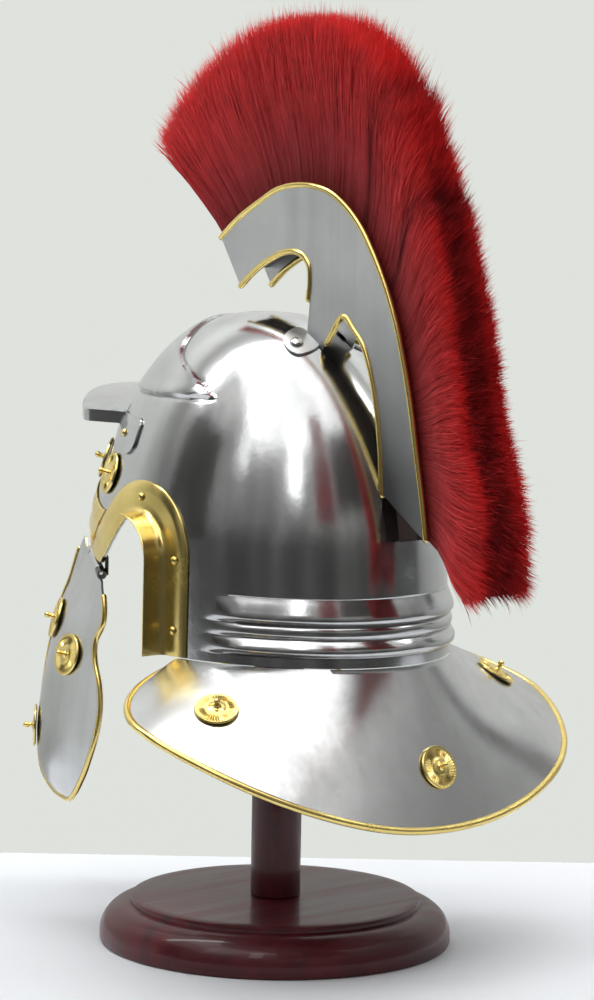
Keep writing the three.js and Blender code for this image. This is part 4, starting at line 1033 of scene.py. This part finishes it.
def build_peak():
    across = np.linspace(-1, 1, 90)
    degrees = 180 + PEAK_HALF_DEGREES * across
    z = PEAK_Z + PEAK_RISE * np.cos(math.pi / 2 * across)
    root = bowl_at(degrees, z, GAP)
    edge = peak_edge(degrees, z)
    ends = []
    for corner, wall in ((edge[0], root[0]), (edge[-1], root[-1])):
        ends.append([corner + (wall - corner) * s for s in np.linspace(0.02, 0.98, 12)])
    path = np.concatenate([ends[0][::-1], edge, ends[1]])
    roots = np.concatenate([
        [root[0] + (root[1] - root[0]) * 0.02 * (12 - i) for i in range(12)], root,
        [root[-1] + (root[-2] - root[-1]) * 0.02 * (i + 1) for i in range(12)]])
    for _ in range(5):
        path[1:-1] = (path[:-2] + 2 * path[1:-1] + path[2:]) / 4
    inward = unit((roots - path) * [1, 1, 0])
    rows = []
    for share in (0, 0.25, 0.5, 0.75, 0.92):
        rows.append(roots + (path + inward * 2.2 - roots) * share)
    for angle in np.linspace(0, math.pi / 2, 6):
        turn = path + inward * 2.2 * (1 - math.sin(angle))
        turn = turn - [0, 0, 2.2 * (1 - math.cos(angle))]
        rows.append(turn)
    for drop in (4, 6, PEAK_RIM):
        rows.append(path - [0, 0, drop])
    outer = np.array(rows)
    normals = grid_normals(outer)
    if np.mean(normals[0, :, 2]) < 0:
        normals = -normals
    inner = outer - normals * PEAK_SHEET
    share = HALF_LENGTH * crown_share(PEAK_Z)
    lug_front = HELMET_Y + share * math.cos(math.radians(180 - PEAK_HALF_DEGREES))
    corner = LUG_HEIGHT / 4
    lug = round_corners([
        (lug_front - corner, PEAK_Z), (lug_front - corner, PEAK_Z - PEAK_RIM),
        (lug_front + corner, PEAK_Z - LUG_HEIGHT),
        (lug_front + LUG_LENGTH - corner, PEAK_Z - LUG_HEIGHT),
        (lug_front + LUG_LENGTH, PEAK_Z - LUG_HEIGHT + corner),
        (lug_front + LUG_LENGTH, PEAK_Z - corner / 2),
        (lug_front + LUG_LENGTH - corner / 2, PEAK_Z)], 3)
    columns = np.linspace(0, 360, 240, endpoint=False)
    rows_low = np.linspace(250, 180, 4)
    piece = carved("peak_lugs", dome(GAP + PEAK_SHEET, 150, columns, rows_low, 60), [
        ("DIFFERENCE", dome(GAP, 140, columns, rows_low, 60)),
        ("INTERSECT", side_prism(lug, -190, 190))])
    plate = make_object("brow_peak_steel", outward(shell(outer, inner)))
    joined([plate, piece])
    dress(plate, POLISHED, "root", ["brow_peak"], 40)
    for name, side in SIDES:
        point, normal = on_bowl(lug_front + LUG_LENGTH / 2, PEAK_Z - LUG_HEIGHT / 2, side,
                                2 * GAP + PEAK_SHEET)
        head = standing(rivet_part(RIVET_RADIUS, RIVET_HEIGHT), point, normal)
        add(f"peak_rivet_{name}_brass", head, BRASS, [f"peak_rivet_{name}"])


def joined(pieces):
    """Puts the later pieces' meshes into the first one."""
    parts = []
    for piece in pieces:
        mesh = piece.data
        points = np.array([v.co for v in mesh.vertices]) / MM
        parts.append((points, [list(p.vertices) for p in mesh.polygons]))
    whole = merged(parts)
    pieces[0].data = make_mesh(pieces[0].name, whole)
    for piece in pieces[1:]:
        bpy.data.objects.remove(piece)


build_peak()


# Neck guard
GUARD_EDGE = np.array([
    [0.0, 0.00, 0.930, 1.00], [15.0, 0.20, 0.950, 0.960], [29.0, 0.39, 0.990, 0.840],
    [37.0, 0.49, 1.010, 0.742], [44.0, 0.58, 1.015, 0.643], [51.0, 0.67, 1.003, 0.540],
    [58.0, 0.76, 0.980, 0.443], [64.5, 0.84, 0.946, 0.358], [70.0, 0.90, 0.890, 0.290],
    [73.5, 0.94, 0.820, 0.225], [75.5, 0.965, 0.740, 0.160], [76.0, 0.985, 0.650, 0.095],
    [75.5, 1.00, 0.580, 0.050]])


def guard_edges(count):
    rows = np.concatenate([GUARD_EDGE[:0:-1] * [-1, -1, 1, 1], GUARD_EDGE])
    angle = np.radians(rows[:, 0])
    outer = np.column_stack([
        rows[:, 2] * GUARD_REACH * np.sin(angle),
        HELMET_Y + rows[:, 2] * GUARD_REACH * np.cos(angle),
        NAPE_Z - rows[:, 3] * GUARD_DROP])
    turn = np.radians(rows[:, 1] * GUARD_INNER_DEGREES)
    out = np.column_stack([np.sin(turn), np.cos(turn)])
    radius = 1 / np.hypot(out[:, 0] / (HALF_WIDTH + NAPE_SPREAD * out[:, 1]),
                          out[:, 1] / (HALF_LENGTH + NAPE_SPREAD))
    inner = np.column_stack([
        radius * out[:, 0], HELMET_Y + radius * out[:, 1],
        np.full(len(rows), NAPE_Z - GAP)])
    both = through(np.column_stack([outer, inner]), count)
    return both[:, 3:], both[:, :3]


def guard_point(inner, outer, share):
    point = inner + (outer - inner) * share
    point[..., 2] += GUARD_CROWN * np.sin(math.pi * share)
    return point


def build_neck_guard():
    inner, outer = guard_edges(220)
    shares = np.linspace(0, 1, 30)
    top = np.array([guard_point(inner, outer, share) for share in shares])
    under = top - [0, 0, GUARD_SHEET]
    add("neck_guard_steel", outward(shell(top, under)), GUARD,
        ["neck_guard"])
    near = guard_point(inner, outer, 0.9)
    edge = guard_point(inner, outer, 1.0)
    along = unit(np.gradient(edge, axis=0))
    out = edge - near
    out = unit(out - along * np.sum(out * along, -1, keepdims=True))
    path = edge - [0, 0, GUARD_SHEET / 2] + out * (GUARD_BEAD - 0.5)
    add("neck_guard_bead", bead(path, GUARD_BEAD, 14), BRASS, ["neck_guard_edging"])
    for name, degrees, share, side in (("centre", 0, 0.66, 1), ("left", 54, 0.5, 1),
                                       ("right", 54, 0.5, -1)):
        plan = np.degrees(np.arctan2(outer[:, 0], outer[:, 1] - HELMET_Y))
        i = int(np.argmin(np.abs(plan - degrees)))
        k = int(round(share * 29))
        normals = grid_normals(top)
        normal = normals[k, i] if normals[k, i, 2] > 0 else -normals[k, i]
        if degrees == 0:
            normal = unit(normal * [0, 1, 1])
        point = guard_point(inner[i:i + 1], outer[i:i + 1], share)[0]
        if degrees == 0:
            point = point * [0, 1, 1]
        point = point + normal * 0.5
        place_rosette(f"neck_rosette_{name}", point * [side, 1, 1], normal * [side, 1, 1])


build_neck_guard()

# Cheek guards: depth, front, rear, swing and bulge
CHEEK_ROWS = np.array([
    [0.00, 0.417, -0.238, 0.00, 0.06], [0.06, 0.464, -0.333, -0.04, 0.21],
    [0.15, 0.500, -0.369, -0.08, 0.46], [0.25, 0.524, -0.321, 0.00, 0.71],
    [0.35, 0.524, -0.357, 0.08, 0.85], [0.42, 0.500, -0.429, 0.21, 0.92],
    [0.50, 0.500, -0.470, 0.33, 0.96], [0.62, 0.536, -0.482, 0.50, 1.00],
    [0.76, 0.548, -0.452, 0.71, 0.98], [0.89, 0.476, -0.381, 0.88, 0.83],
    [0.96, 0.381, -0.286, 0.92, 0.67], [1.00, 0.286, -0.179, 1.00, 0.46]])
HINGE = np.array([76.25, -86.62, 233.98])
HINGE_ALONG = np.array([-0.4805, -0.8772, 0])
HINGE_OUT = np.array([0.8772, -0.4805, 0])
HINGE_AXIS = HINGE_ALONG * math.cos(HINGE_TILT) + np.array([0, 0, math.sin(HINGE_TILT)])


def cheek_at(depth, across):
    depth = np.asarray(depth, float)
    columns = curve_at(CHEEK_ROWS[:, 0], CHEEK_ROWS[:, 1:], depth)
    front, rear, swing, bulge = np.moveaxis(columns, -1, 0)
    s = (rear + (front - rear) * across) * CHEEK_WIDTH
    wrap = np.sin(CHEEK_WRAP * (s / CHEEK_WIDTH + 0.5))
    out = swing * CHEEK_SWING + bulge * CHEEK_BULGE * wrap
    drop = KNUCKLE + GAP - s * math.tan(HINGE_TILT) * (1 - depth)
    horn = smooth(s, 24, 42) * np.maximum(0, 1 - 6 * depth)
    point = HINGE + s[..., None] * HINGE_ALONG + out[..., None] * HINGE_OUT
    point[..., 2] += CHEEK_HORN * horn - drop - depth * CHEEK_HEIGHT
    return point


def cheek_inward(grid):
    side = np.gradient(grid, axis=1)
    out = unit(np.stack([-side[..., 1], side[..., 0], 0 * side[..., 0]], -1))
    sign = np.where(np.sum(out * HINGE_OUT, -1, keepdims=True) > 0, -1, 1)
    return out * sign


def turned(start, end, rings, sides=28):
    """A turned part along a line, from (share, radius) rows."""
    axis = unit(end - start)
    side = unit(np.cross(axis, [0, 0, 1]))
    up = np.cross(axis, side)
    angle = np.linspace(0, 2 * math.pi, sides, endpoint=False)
    ring = np.outer(np.cos(angle), side) + np.outer(np.sin(angle), up)
    made = [start + axis * place + ring * radius for place, radius in rings]
    return tube_through(made)


def tube_rings(length, radius, bore, depth):
    """Rows of a rolled tube with a bore sunk into each end."""
    return [(depth, 0.05), (depth, bore), (0.4, bore), (0.0, bore + 0.3), (0.0, radius - 0.4),
            (0.35, radius), (length - 0.35, radius), (length, radius - 0.4),
            (length, bore + 0.3), (length - 0.4, bore), (length - depth, bore),
            (length - depth, 0.05)]


def slab(corners, along):
    """A plate through four corners, pushed along a direction."""
    corners = np.asarray(corners, float)
    return tube_through([corners, corners + along])


def build_cheek(name, side):
    body = f"cheek_{name}"
    depth = np.linspace(0, 1, 96)[:, None]
    across = np.linspace(0, 1, 52)[None, :]
    outer = cheek_at(np.broadcast_to(depth, (96, 52)), across)
    inward = cheek_inward(outer)
    inner = outer + inward * CHEEK_SHEET
    half = 0.3 * HINGE_LENGTH
    start = HINGE - HINGE_AXIS * half
    knuckle = turned(start, HINGE + HINGE_AXIS * half, tube_rings(2 * half, KNUCKLE, 1.9, 1.2))
    clear = KNUCKLE * math.sin(HINGE_TILT) + GAP
    base = HINGE + HINGE_AXIS * (clear - half)
    neck = slab([
        base - [0, 0, KNUCKLE_BORE + GAP], base - [0, 0, 3 * KNUCKLE],
        base - [0, 0, 3 * KNUCKLE] - HINGE_OUT * CHEEK_SHEET,
        base - [0, 0, KNUCKLE_BORE + GAP] - HINGE_OUT * CHEEK_SHEET],
        HINGE_AXIS * 2 * (half - clear))
    whole = merged([outward(shell(outer, inner)), outward(knuckle), outward(neck)])
    add(f"cheek_guard_{name}_steel", mirror(whole, side), GUARD,
        [f"cheek_guard_{name}"], body)

    middle = outer + inward * CHEEK_SHEET / 2
    top = 5
    edge = np.concatenate([middle[top:, 0], middle[-1, 4:-4:6], middle[:top:-1, -1]])
    inside = np.concatenate([middle[top:, 4], middle[-8, 4:-4:6], middle[:top:-1, -5]])
    along = unit(np.gradient(edge, axis=0))
    out = edge - inside
    out = unit(out - along * np.sum(out * along, -1, keepdims=True))
    path = edge + out * (CHEEK_BEAD - 0.4)
    for _ in range(3):
        path[1:-1] = (path[:-2] + 2 * path[1:-1] + path[2:]) / 4
    add(f"cheek_bead_{name}", mirror(bead(path, CHEEK_BEAD), side), BRASS,
        [f"cheek_edging_{name}"], body)
    for place, depth_at, across_at in (("upper", 0.30, 0.84), ("middle", 0.37, 0.35),
                                       ("lower", 0.75, 0.84)):
        depth_at = np.array(depth_at)
        across_at = np.array(across_at)
        point = cheek_at(depth_at, across_at)
        over = cheek_at(depth_at, across_at + 0.08) - cheek_at(depth_at, across_at - 0.08)
        down = cheek_at(depth_at + 0.08, across_at) - cheek_at(depth_at - 0.08, across_at)
        normal = unit(np.cross(over, down))
        if normal @ HINGE_OUT < 0:
            normal = -normal
        point = point + normal * 0.5
        place_rosette(f"cheek_rosette_{place}_{name}", point * [side, 1, 1],
                      normal * [side, 1, 1], body)


def build_hinge(name, side):
    parts = [turned(HINGE - HINGE_AXIS * 17.5, HINGE + HINGE_AXIS * 17.5,
                    [(0, 0.1), (0, PIN - 0.3), (0.4, PIN), (34.6, PIN), (35, PIN - 0.3),
                     (35, 0.1)])]
    for sign in (-1, 1):
        near = HINGE + HINGE_AXIS * sign * 12.4
        far = HINGE + HINGE_AXIS * sign * 20
        parts.append(turned(near, far, [
            (0, 0.1), (0, KNUCKLE - 0.4), (0.35, KNUCKLE), (7.25, KNUCKLE), (7.6, KNUCKLE - 0.4),
            (7.6, KNUCKLE_BORE + 0.25), (7.2, KNUCKLE_BORE), (3.2, KNUCKLE_BORE), (3.2, 0.1)]))
        low = HINGE + HINGE_AXIS * sign * 12.4
        parts.append(slab([
            low - HINGE_OUT * 1.4, low - HINGE_OUT * 4.1,
            low - HINGE_OUT * 4.1 + [0, 0, 11], low - HINGE_OUT * 3.1 + [0, 0, 11],
            low - HINGE_OUT * 3.1 + [0, 0, 1.4], low - HINGE_OUT * 1.4 + [0, 0, 1.4]],
            HINGE_AXIS * sign * 7.6))
    whole = merged([outward(part) for part in parts])
    add(f"hinge_{name}_steel", mirror(whole, side), POLISHED,
        [f"hinge_{name}"])


for name, side in SIDES:
    build_cheek(name, side)
    build_hinge(name, side)

# Crest outlines, as shares along and up
CREST_OUTER = [
    (0.000, 0.827), (0.085, 0.888), (0.184, 0.941), (0.281, 0.985), (0.368, 1.000),
    (0.449, 1.000), (0.524, 0.985), (0.595, 0.950), (0.670, 0.891), (0.719, 0.832),
    (0.768, 0.762), (0.811, 0.688), (0.843, 0.619), (0.870, 0.545), (0.908, 0.420),
    (0.946, 0.257), (0.978, 0.114), (1.000, 0.000)]
CREST_ARCH = [
    (0.811, 0.114), (0.800, 0.250), (0.773, 0.391), (0.741, 0.490), (0.703, 0.560),
    (0.654, 0.604), (0.626, 0.630), (0.600, 0.637), (0.576, 0.622), (0.552, 0.590),
    (0.520, 0.548), (0.481, 0.480)]
CREST_HOOK = [
    (0.427, 0.520), (0.443, 0.668), (0.449, 0.728), (0.443, 0.772), (0.416, 0.802),
    (0.368, 0.817), (0.308, 0.812), (0.238, 0.787), (0.162, 0.748), (0.092, 0.698)]


def crest_curve(rows, count):
    rows = np.asarray(rows)
    points = np.column_stack([CREST_Y + rows[:, 0] * CREST_LENGTH,
                              CREST_Z + rows[:, 1] * CREST_HEIGHT])
    return through(points, count)


def sideways(curve, distance):
    along = unit(np.gradient(curve, axis=0))
    return curve + np.column_stack([-along[:, 1], along[:, 0]]) * distance


COARSE = np.linspace(0, 360, 200, endpoint=False)
LOW_ROWS = np.linspace(250, 180, 5)


def build_crest_plate(name, side):
    outline = np.concatenate([
        crest_curve(CREST_OUTER, 90), crest_curve(CREST_ARCH, 50), crest_curve(CREST_HOOK, 50)])
    foot = round_corners([
        (CREST_HALF, FOOT_Y - 10), (CREST_HALF + 10, FOOT_Y - 10), (CREST_HALF + 17, FOOT_Y - 7),
        (CREST_HALF + 19, FOOT_Y), (CREST_HALF + 17, FOOT_Y + 7), (CREST_HALF + 10, FOOT_Y + 10),
        (CREST_HALF, FOOT_Y + 10)], 6)
    lobe = carved("foot", dome(GAP + CREST_SHEET, 150, COARSE, LOW_ROWS, 70), [
        ("DIFFERENCE", dome(GAP, 140, COARSE, LOW_ROWS, 70)),
        ("INTERSECT", plan_prism(foot, WIDEST_Z, 500))])
    plate = carved(f"crest_plate_{name}_steel",
                   side_prism(outline, CREST_HALF, CREST_HALF + CREST_SHEET), [
                       ("DIFFERENCE", dome(GAP, NAPE_Z, COARSE, LOW_ROWS, 70))])
    joined([plate, lobe])
    if side < 0:
        plate.data.transform(Matrix.Scale(-1, 4, (1, 0, 0)))
        plate.data.flip_normals()
    dress(plate, SATIN, "root", [f"crest_plate_{name}"])


def build_crest_beads(name, side):
    for place, rows, count in (("outer", CREST_OUTER, 120), ("arch", CREST_ARCH[:-1], 60),
                               ("hook", CREST_HOOK[1:], 60)):
        flat = sideways(crest_curve(rows, count), CREST_BEAD - 0.3)
        path = np.column_stack([np.full(count, CREST_HALF + CREST_SHEET / 2), flat])
        piece = carved(f"crest_bead_{place}_{name}", bead(path, CREST_BEAD, 14), [
            ("DIFFERENCE", dome(GAP, NAPE_Z, COARSE, LOW_ROWS, 70))])
        if side < 0:
            piece.data.transform(Matrix.Scale(-1, 4, (1, 0, 0)))
            piece.data.flip_normals()
        dress(piece, BRASS, "root", [f"crest_edging_{place}_{name}"])
    x = CREST_HALF + 0.6 * 19
    share = math.hypot(x / HALF_WIDTH, (FOOT_Y - HELMET_Y) / HALF_LENGTH)
    point, normal = on_bowl(FOOT_Y, crown_height(share), side, GAP + CREST_SHEET)
    head = standing(rivet_part(4.2, 2.6), point, normal)
    add(f"crest_rivet_{name}_steel", head, POLISHED, [f"crest_rivet_{name}"])


for name, side in SIDES:
    build_crest_plate(name, side)
    build_crest_beads(name, side)


def build_block():
    outer = crest_curve(CREST_OUTER, 110)
    outline = np.concatenate([sideways(outer, -6.4), sideways(outer, -22)[::-1]])
    piece = carved("crest_block_wood", side_prism(outline, -11.6, 11.6), [
        ("DIFFERENCE", dome(GAP, NAPE_Z, COARSE, LOW_ROWS, 70))])
    dress(piece, CORE, "root", ["crest_block"])


build_block()

# Hair: place along the crest, lean from upright and length
HAIR_ROWS = np.array([
    [0.00, -42, 0.80], [0.08, -31, 0.90], [0.16, -18, 0.95], [0.25, -6, 0.97],
    [0.34, 5, 0.97], [0.42, 14, 0.89], [0.50, 24, 0.75], [0.58, 35, 0.63], [0.66, 49, 0.55],
    [0.74, 65, 0.49], [0.82, 82, 0.48], [0.90, 98, 0.57], [1.00, 122, 0.62]])
ROOT_LINE = crest_curve(CREST_OUTER, 400)
CLUMPS = np.sort(rng.random(70))
PARTINGS = (0.425, 0.55)


def hair_frames(share):
    place = np.clip(share, 0, 1) * 399
    low = np.clip(place.astype(int), 0, 398)
    mix = (place - low)[:, None]
    root = ROOT_LINE[low] * (1 - mix) + ROOT_LINE[low + 1] * mix
    lean = np.radians(curve_at(HAIR_ROWS[:, 0], HAIR_ROWS[:, 1], share))
    length = HAIR_LENGTH * curve_at(HAIR_ROWS[:, 0], HAIR_ROWS[:, 2], share)
    return root, lean, length


def tip_half(share):
    front = 3.5 * (1 - smooth(share, 0, 0.3))
    return (14.0 + front + 9.0 * share) * (0.97 + 0.03 * np.sin(share * 47))


def hair_points(share, sideways_share, rise_share, clump, bend, wild):
    """Points of strands; each strand has one share and many rises."""
    tip_share = share + clump
    root, lean, length = hair_frames(share)
    _, lean_tip, _ = hair_frames(tip_share)
    t = rise_share
    lean_here = lean[:, None] + (lean_tip - lean)[:, None] * t + bend[:, None] * t * t
    direction = np.stack([np.sin(lean_here), np.cos(lean_here)], -1)
    reach = length[:, None] * t
    spread = smooth(reach, 5.0, 0.75 * length[:, None])
    half = 9.4 + (tip_half(share)[:, None] - 9.4) * spread
    x = sideways_share[:, None] * half + wild[:, None] * t ** 3
    inward = -3.0 * (1 - smooth(reach, 0, 6))
    y = root[:, None, 0] + direction[..., 0] * (reach + inward)
    z = root[:, None, 1] + direction[..., 1] * (reach + inward)
    return np.stack([x, y, z], -1)


def strands(name, count, segments, start, edge_only, width, seed):
    """Many thin tapered ribbons of hair as one mesh."""
    random = np.random.default_rng(seed)
    share = random.random(count)
    if edge_only:
        sideways_share = edge_only * (1 - 0.30 * random.random(count) ** 1.5)
    else:
        sideways_share = random.uniform(-1, 1, count)
    nearest = CLUMPS[np.argmin(np.abs(share[:, None] - CLUMPS[None, :]), axis=1)]
    clump = (nearest - share) * random.uniform(0.2, 0.75, count)
    clump += random.normal(0, 0.004, count)
    # Strands spread apart at the partings; strands beside a parting are marked for painted
    # shade.
    parting_shade = np.zeros(count)
    for parting in PARTINGS:
        aside = share - parting
        clump += np.sign(aside) * 0.02 * np.exp(-(aside / 0.03) ** 2)
        parting_shade += np.exp(-(aside / 0.012) ** 2)
    bend = random.normal(0, 0.07, count)
    wild = random.normal(0, 1.6, count)
    trim = 1.04 - 0.15 * random.random(count) ** 1.5
    stray = random.random(count) < 0.03
    trim = np.where(stray, 1.04 + 0.07 * random.random(count), trim)
    centre = 1 - np.abs(sideways_share) ** 2
    back = smooth(share, 0.42, 0.62)
    trim -= 0.055 * centre * back
    if start:
        begin = start + random.uniform(-0.1, 0.1, count)
    else:
        begin = np.zeros(count)
    t = begin[:, None] + (trim - begin)[:, None] * np.linspace(0, 1, segments + 1)[None, :]
    line = hair_points(share, sideways_share, t, clump, bend, wild)
    along = unit(np.gradient(line, axis=1))
    facing = np.zeros((count, 1, 3))
    facing[:, 0, 0] = np.where(sideways_share >= 0, 1, -1)
    twist = random.normal(0, 0.5, (count, 3)) if edge_only else random.normal(0, 1, (count, 3))
    across = unit(np.cross(along, facing + twist[:, None, :] * 0.6))
    taper = np.linspace(1, 0, segments + 1)
    taper = (0.25 + 0.75 * np.minimum(1, taper * 2.2))[None, :, None]
    size = width * random.uniform(0.7, 1.3, (count, 1, 1))
    left = line - across * size * taper / 2
    right = line + across * size * taper / 2
    points = np.stack([left, right], 2).reshape(count, -1, 3)
    points = np.concatenate([points[:, :-2], line[:, -1:]], axis=1)
    per = points.shape[1]
    quads = np.array([[2 * k, 2 * k + 1, 2 * k + 3, 2 * k + 2] for k in range(segments - 1)])
    base = (np.arange(count) * per)[:, None, None]
    quad_faces = (base + quads[None]).reshape(-1, 4)
    tips = base[:, 0] + np.array([[2 * segments - 2, 2 * segments - 1, 2 * segments]])
    mesh = bpy.data.meshes.new(name)
    mesh.vertices.add(count * per)
    mesh.vertices.foreach_set("co", (points * MM).reshape(-1).astype(np.float32))
    loops = np.concatenate([quad_faces.reshape(-1), tips.reshape(-1)])
    mesh.loops.add(len(loops))
    mesh.loops.foreach_set("vertex_index", loops.astype(np.int32))
    sizes = np.concatenate([np.full(len(quad_faces), 4), np.full(count, 3)])
    starts = np.concatenate([[0], np.cumsum(sizes)[:-1]])
    mesh.polygons.add(len(sizes))
    mesh.polygons.foreach_set("loop_start", starts.astype(np.int32))
    mesh.update(calc_edges=True)
    # Painted shade: strands in the middle of the back end face (depth) and beside the partings
    # get darker, for the shade deep in the plume; the random part is each strand's own tone.
    mottle = np.sin(share * 61 + 2 * sideways_share) * np.sin(share * 143 - 3 * sideways_share)
    depth = smooth(centre, 0.5, 1.0) * back * (0.7 + 0.3 * mottle)
    shade = np.clip(0.06 + 0.22 * random.random(count) + 0.66 * depth + 0.4 * parting_shade, 0, 0.88)
    t_points = np.concatenate([np.repeat(t[:, :-1], 2, axis=1), t[:, -1:]], axis=1)
    give(mesh, "along", t_points.reshape(-1))
    give(mesh, "shade", np.repeat(shade, per))
    piece = bpy.data.objects.new(name, mesh)
    bpy.context.scene.collection.objects.link(piece)
    return piece


def give(mesh, name, values):
    attribute = mesh.attributes.new(name, "FLOAT", "POINT")
    attribute.data.foreach_set("value", np.asarray(values, np.float32))


def build_core():
    shares = np.linspace(0.0, 1.0, 120)
    root, lean, length = hair_frames(shares)
    section = [(-1, -4.0, 0.0), (-1, 0, 0.1), (-1, 0, 0.35), (-1, 0, 0.62), (-0.95, 0, 0.78),
               (-0.75, 0, 0.83), (0, 0, 0.84), (0.75, 0, 0.83), (0.95, 0, 0.78), (1, 0, 0.62),
               (1, 0, 0.35), (1, 0, 0.1), (1, -4.0, 0.0)]
    rings = []
    depths = []
    for x_share, drop, rise in section:
        reach = length * rise + drop
        spread = smooth(reach, 5.0, 0.75 * length)
        half = 8.6 + (0.86 * tip_half(shares) - 8.6) * spread
        rings.append(np.column_stack([
            x_share * half, root[:, 0] + np.sin(lean) * reach,
            root[:, 1] + np.cos(lean) * reach]))
        depths.append(np.full(len(shares), max(rise, 0)))
    rings = np.array(rings).transpose(1, 0, 2)
    piece = make_object("plume_core", outward(tube_through(rings)))
    depths = np.array(depths).T
    # Painted shade: the core, standing for the inside of the plume, gets the dark root colour
    # and a fixed dark shade.
    give(piece.data, "along", 0.55 * depths.reshape(-1))
    give(piece.data, "shade", np.full(depths.size, 0.55))
    dress(piece, HAIR, "root", ["plume"])


build_core()
STRAND_SETS = [
    ("plume_side_left", 15500, 6, 0.0, 1, 0.65),
    ("plume_side_right", 15500, 6, 0.0, -1, 0.65),
    ("plume_tips_a", 24000, 3, 0.58, 0, 0.59),
    ("plume_tips_b", 24000, 3, 0.58, 0, 0.59)]
for index, (name, count, segments, start, edge_only, width) in enumerate(STRAND_SETS):
    piece = strands(name, count, segments, start, edge_only, width, 11 + index)
    piece.data.shade_smooth()
    piece.data.materials.append(HAIR)
    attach(piece, "root")


# Stand: turned base and post
def build_stand():
    foot = [(0, 0), (BASE_RADIUS - 2.4, 0), (BASE_RADIUS - 0.7, 0.7), (BASE_RADIUS, 2.4),
            (BASE_RADIUS, 5.0)]
    angle = np.linspace(0.05, math.pi / 2 - 0.03, 16)
    curve = np.column_stack([
        BASE_TOP + (BASE_RADIUS - BASE_TOP) * np.cos(angle), 6 + 18.1 * np.sin(angle)])
    top = [(BASE_TOP - 0.4, 24.3), (BASE_TOP - 1.1, 24.6), (BASE_TOP - 1.1, 26.8),
           (BASE_TOP - 1.5, 27.9), (BASE_TOP - 2.5, BASE_HEIGHT), (BASE_TOP - 8, BASE_HEIGHT),
           (0, BASE_HEIGHT)]
    base = lathe(np.concatenate([foot, curve, top]), 180)
    add("stand_base_wood", outward(base), VARNISH, ["stand_base"])

    share = math.hypot(31 / HALF_WIDTH, 44 / HALF_LENGTH)
    shoulder = crown_height(share, -WALL) - 14
    low = BASE_HEIGHT + GAP
    post = lathe([
        (0, low), (15.1, low), (POST_RADIUS, low + 0.5), (POST_RADIUS, 120), (POST_RADIUS, 240),
        (POST_RADIUS, shoulder - 2), (16.5, shoulder - 0.4), (22, shoulder + 1.5),
        (29.5, shoulder + 4.4), (31, shoulder + 6), (31, CROWN_Z), (0, CROWN_Z)], 72)
    piece = carved("stand_post_wood", outward(post), [
        ("INTERSECT", dome(-WALL - GAP, 0, COARSE, LOW_ROWS, 70))])
    dress(piece, VARNISH, "root", ["stand_post"])


build_stand()
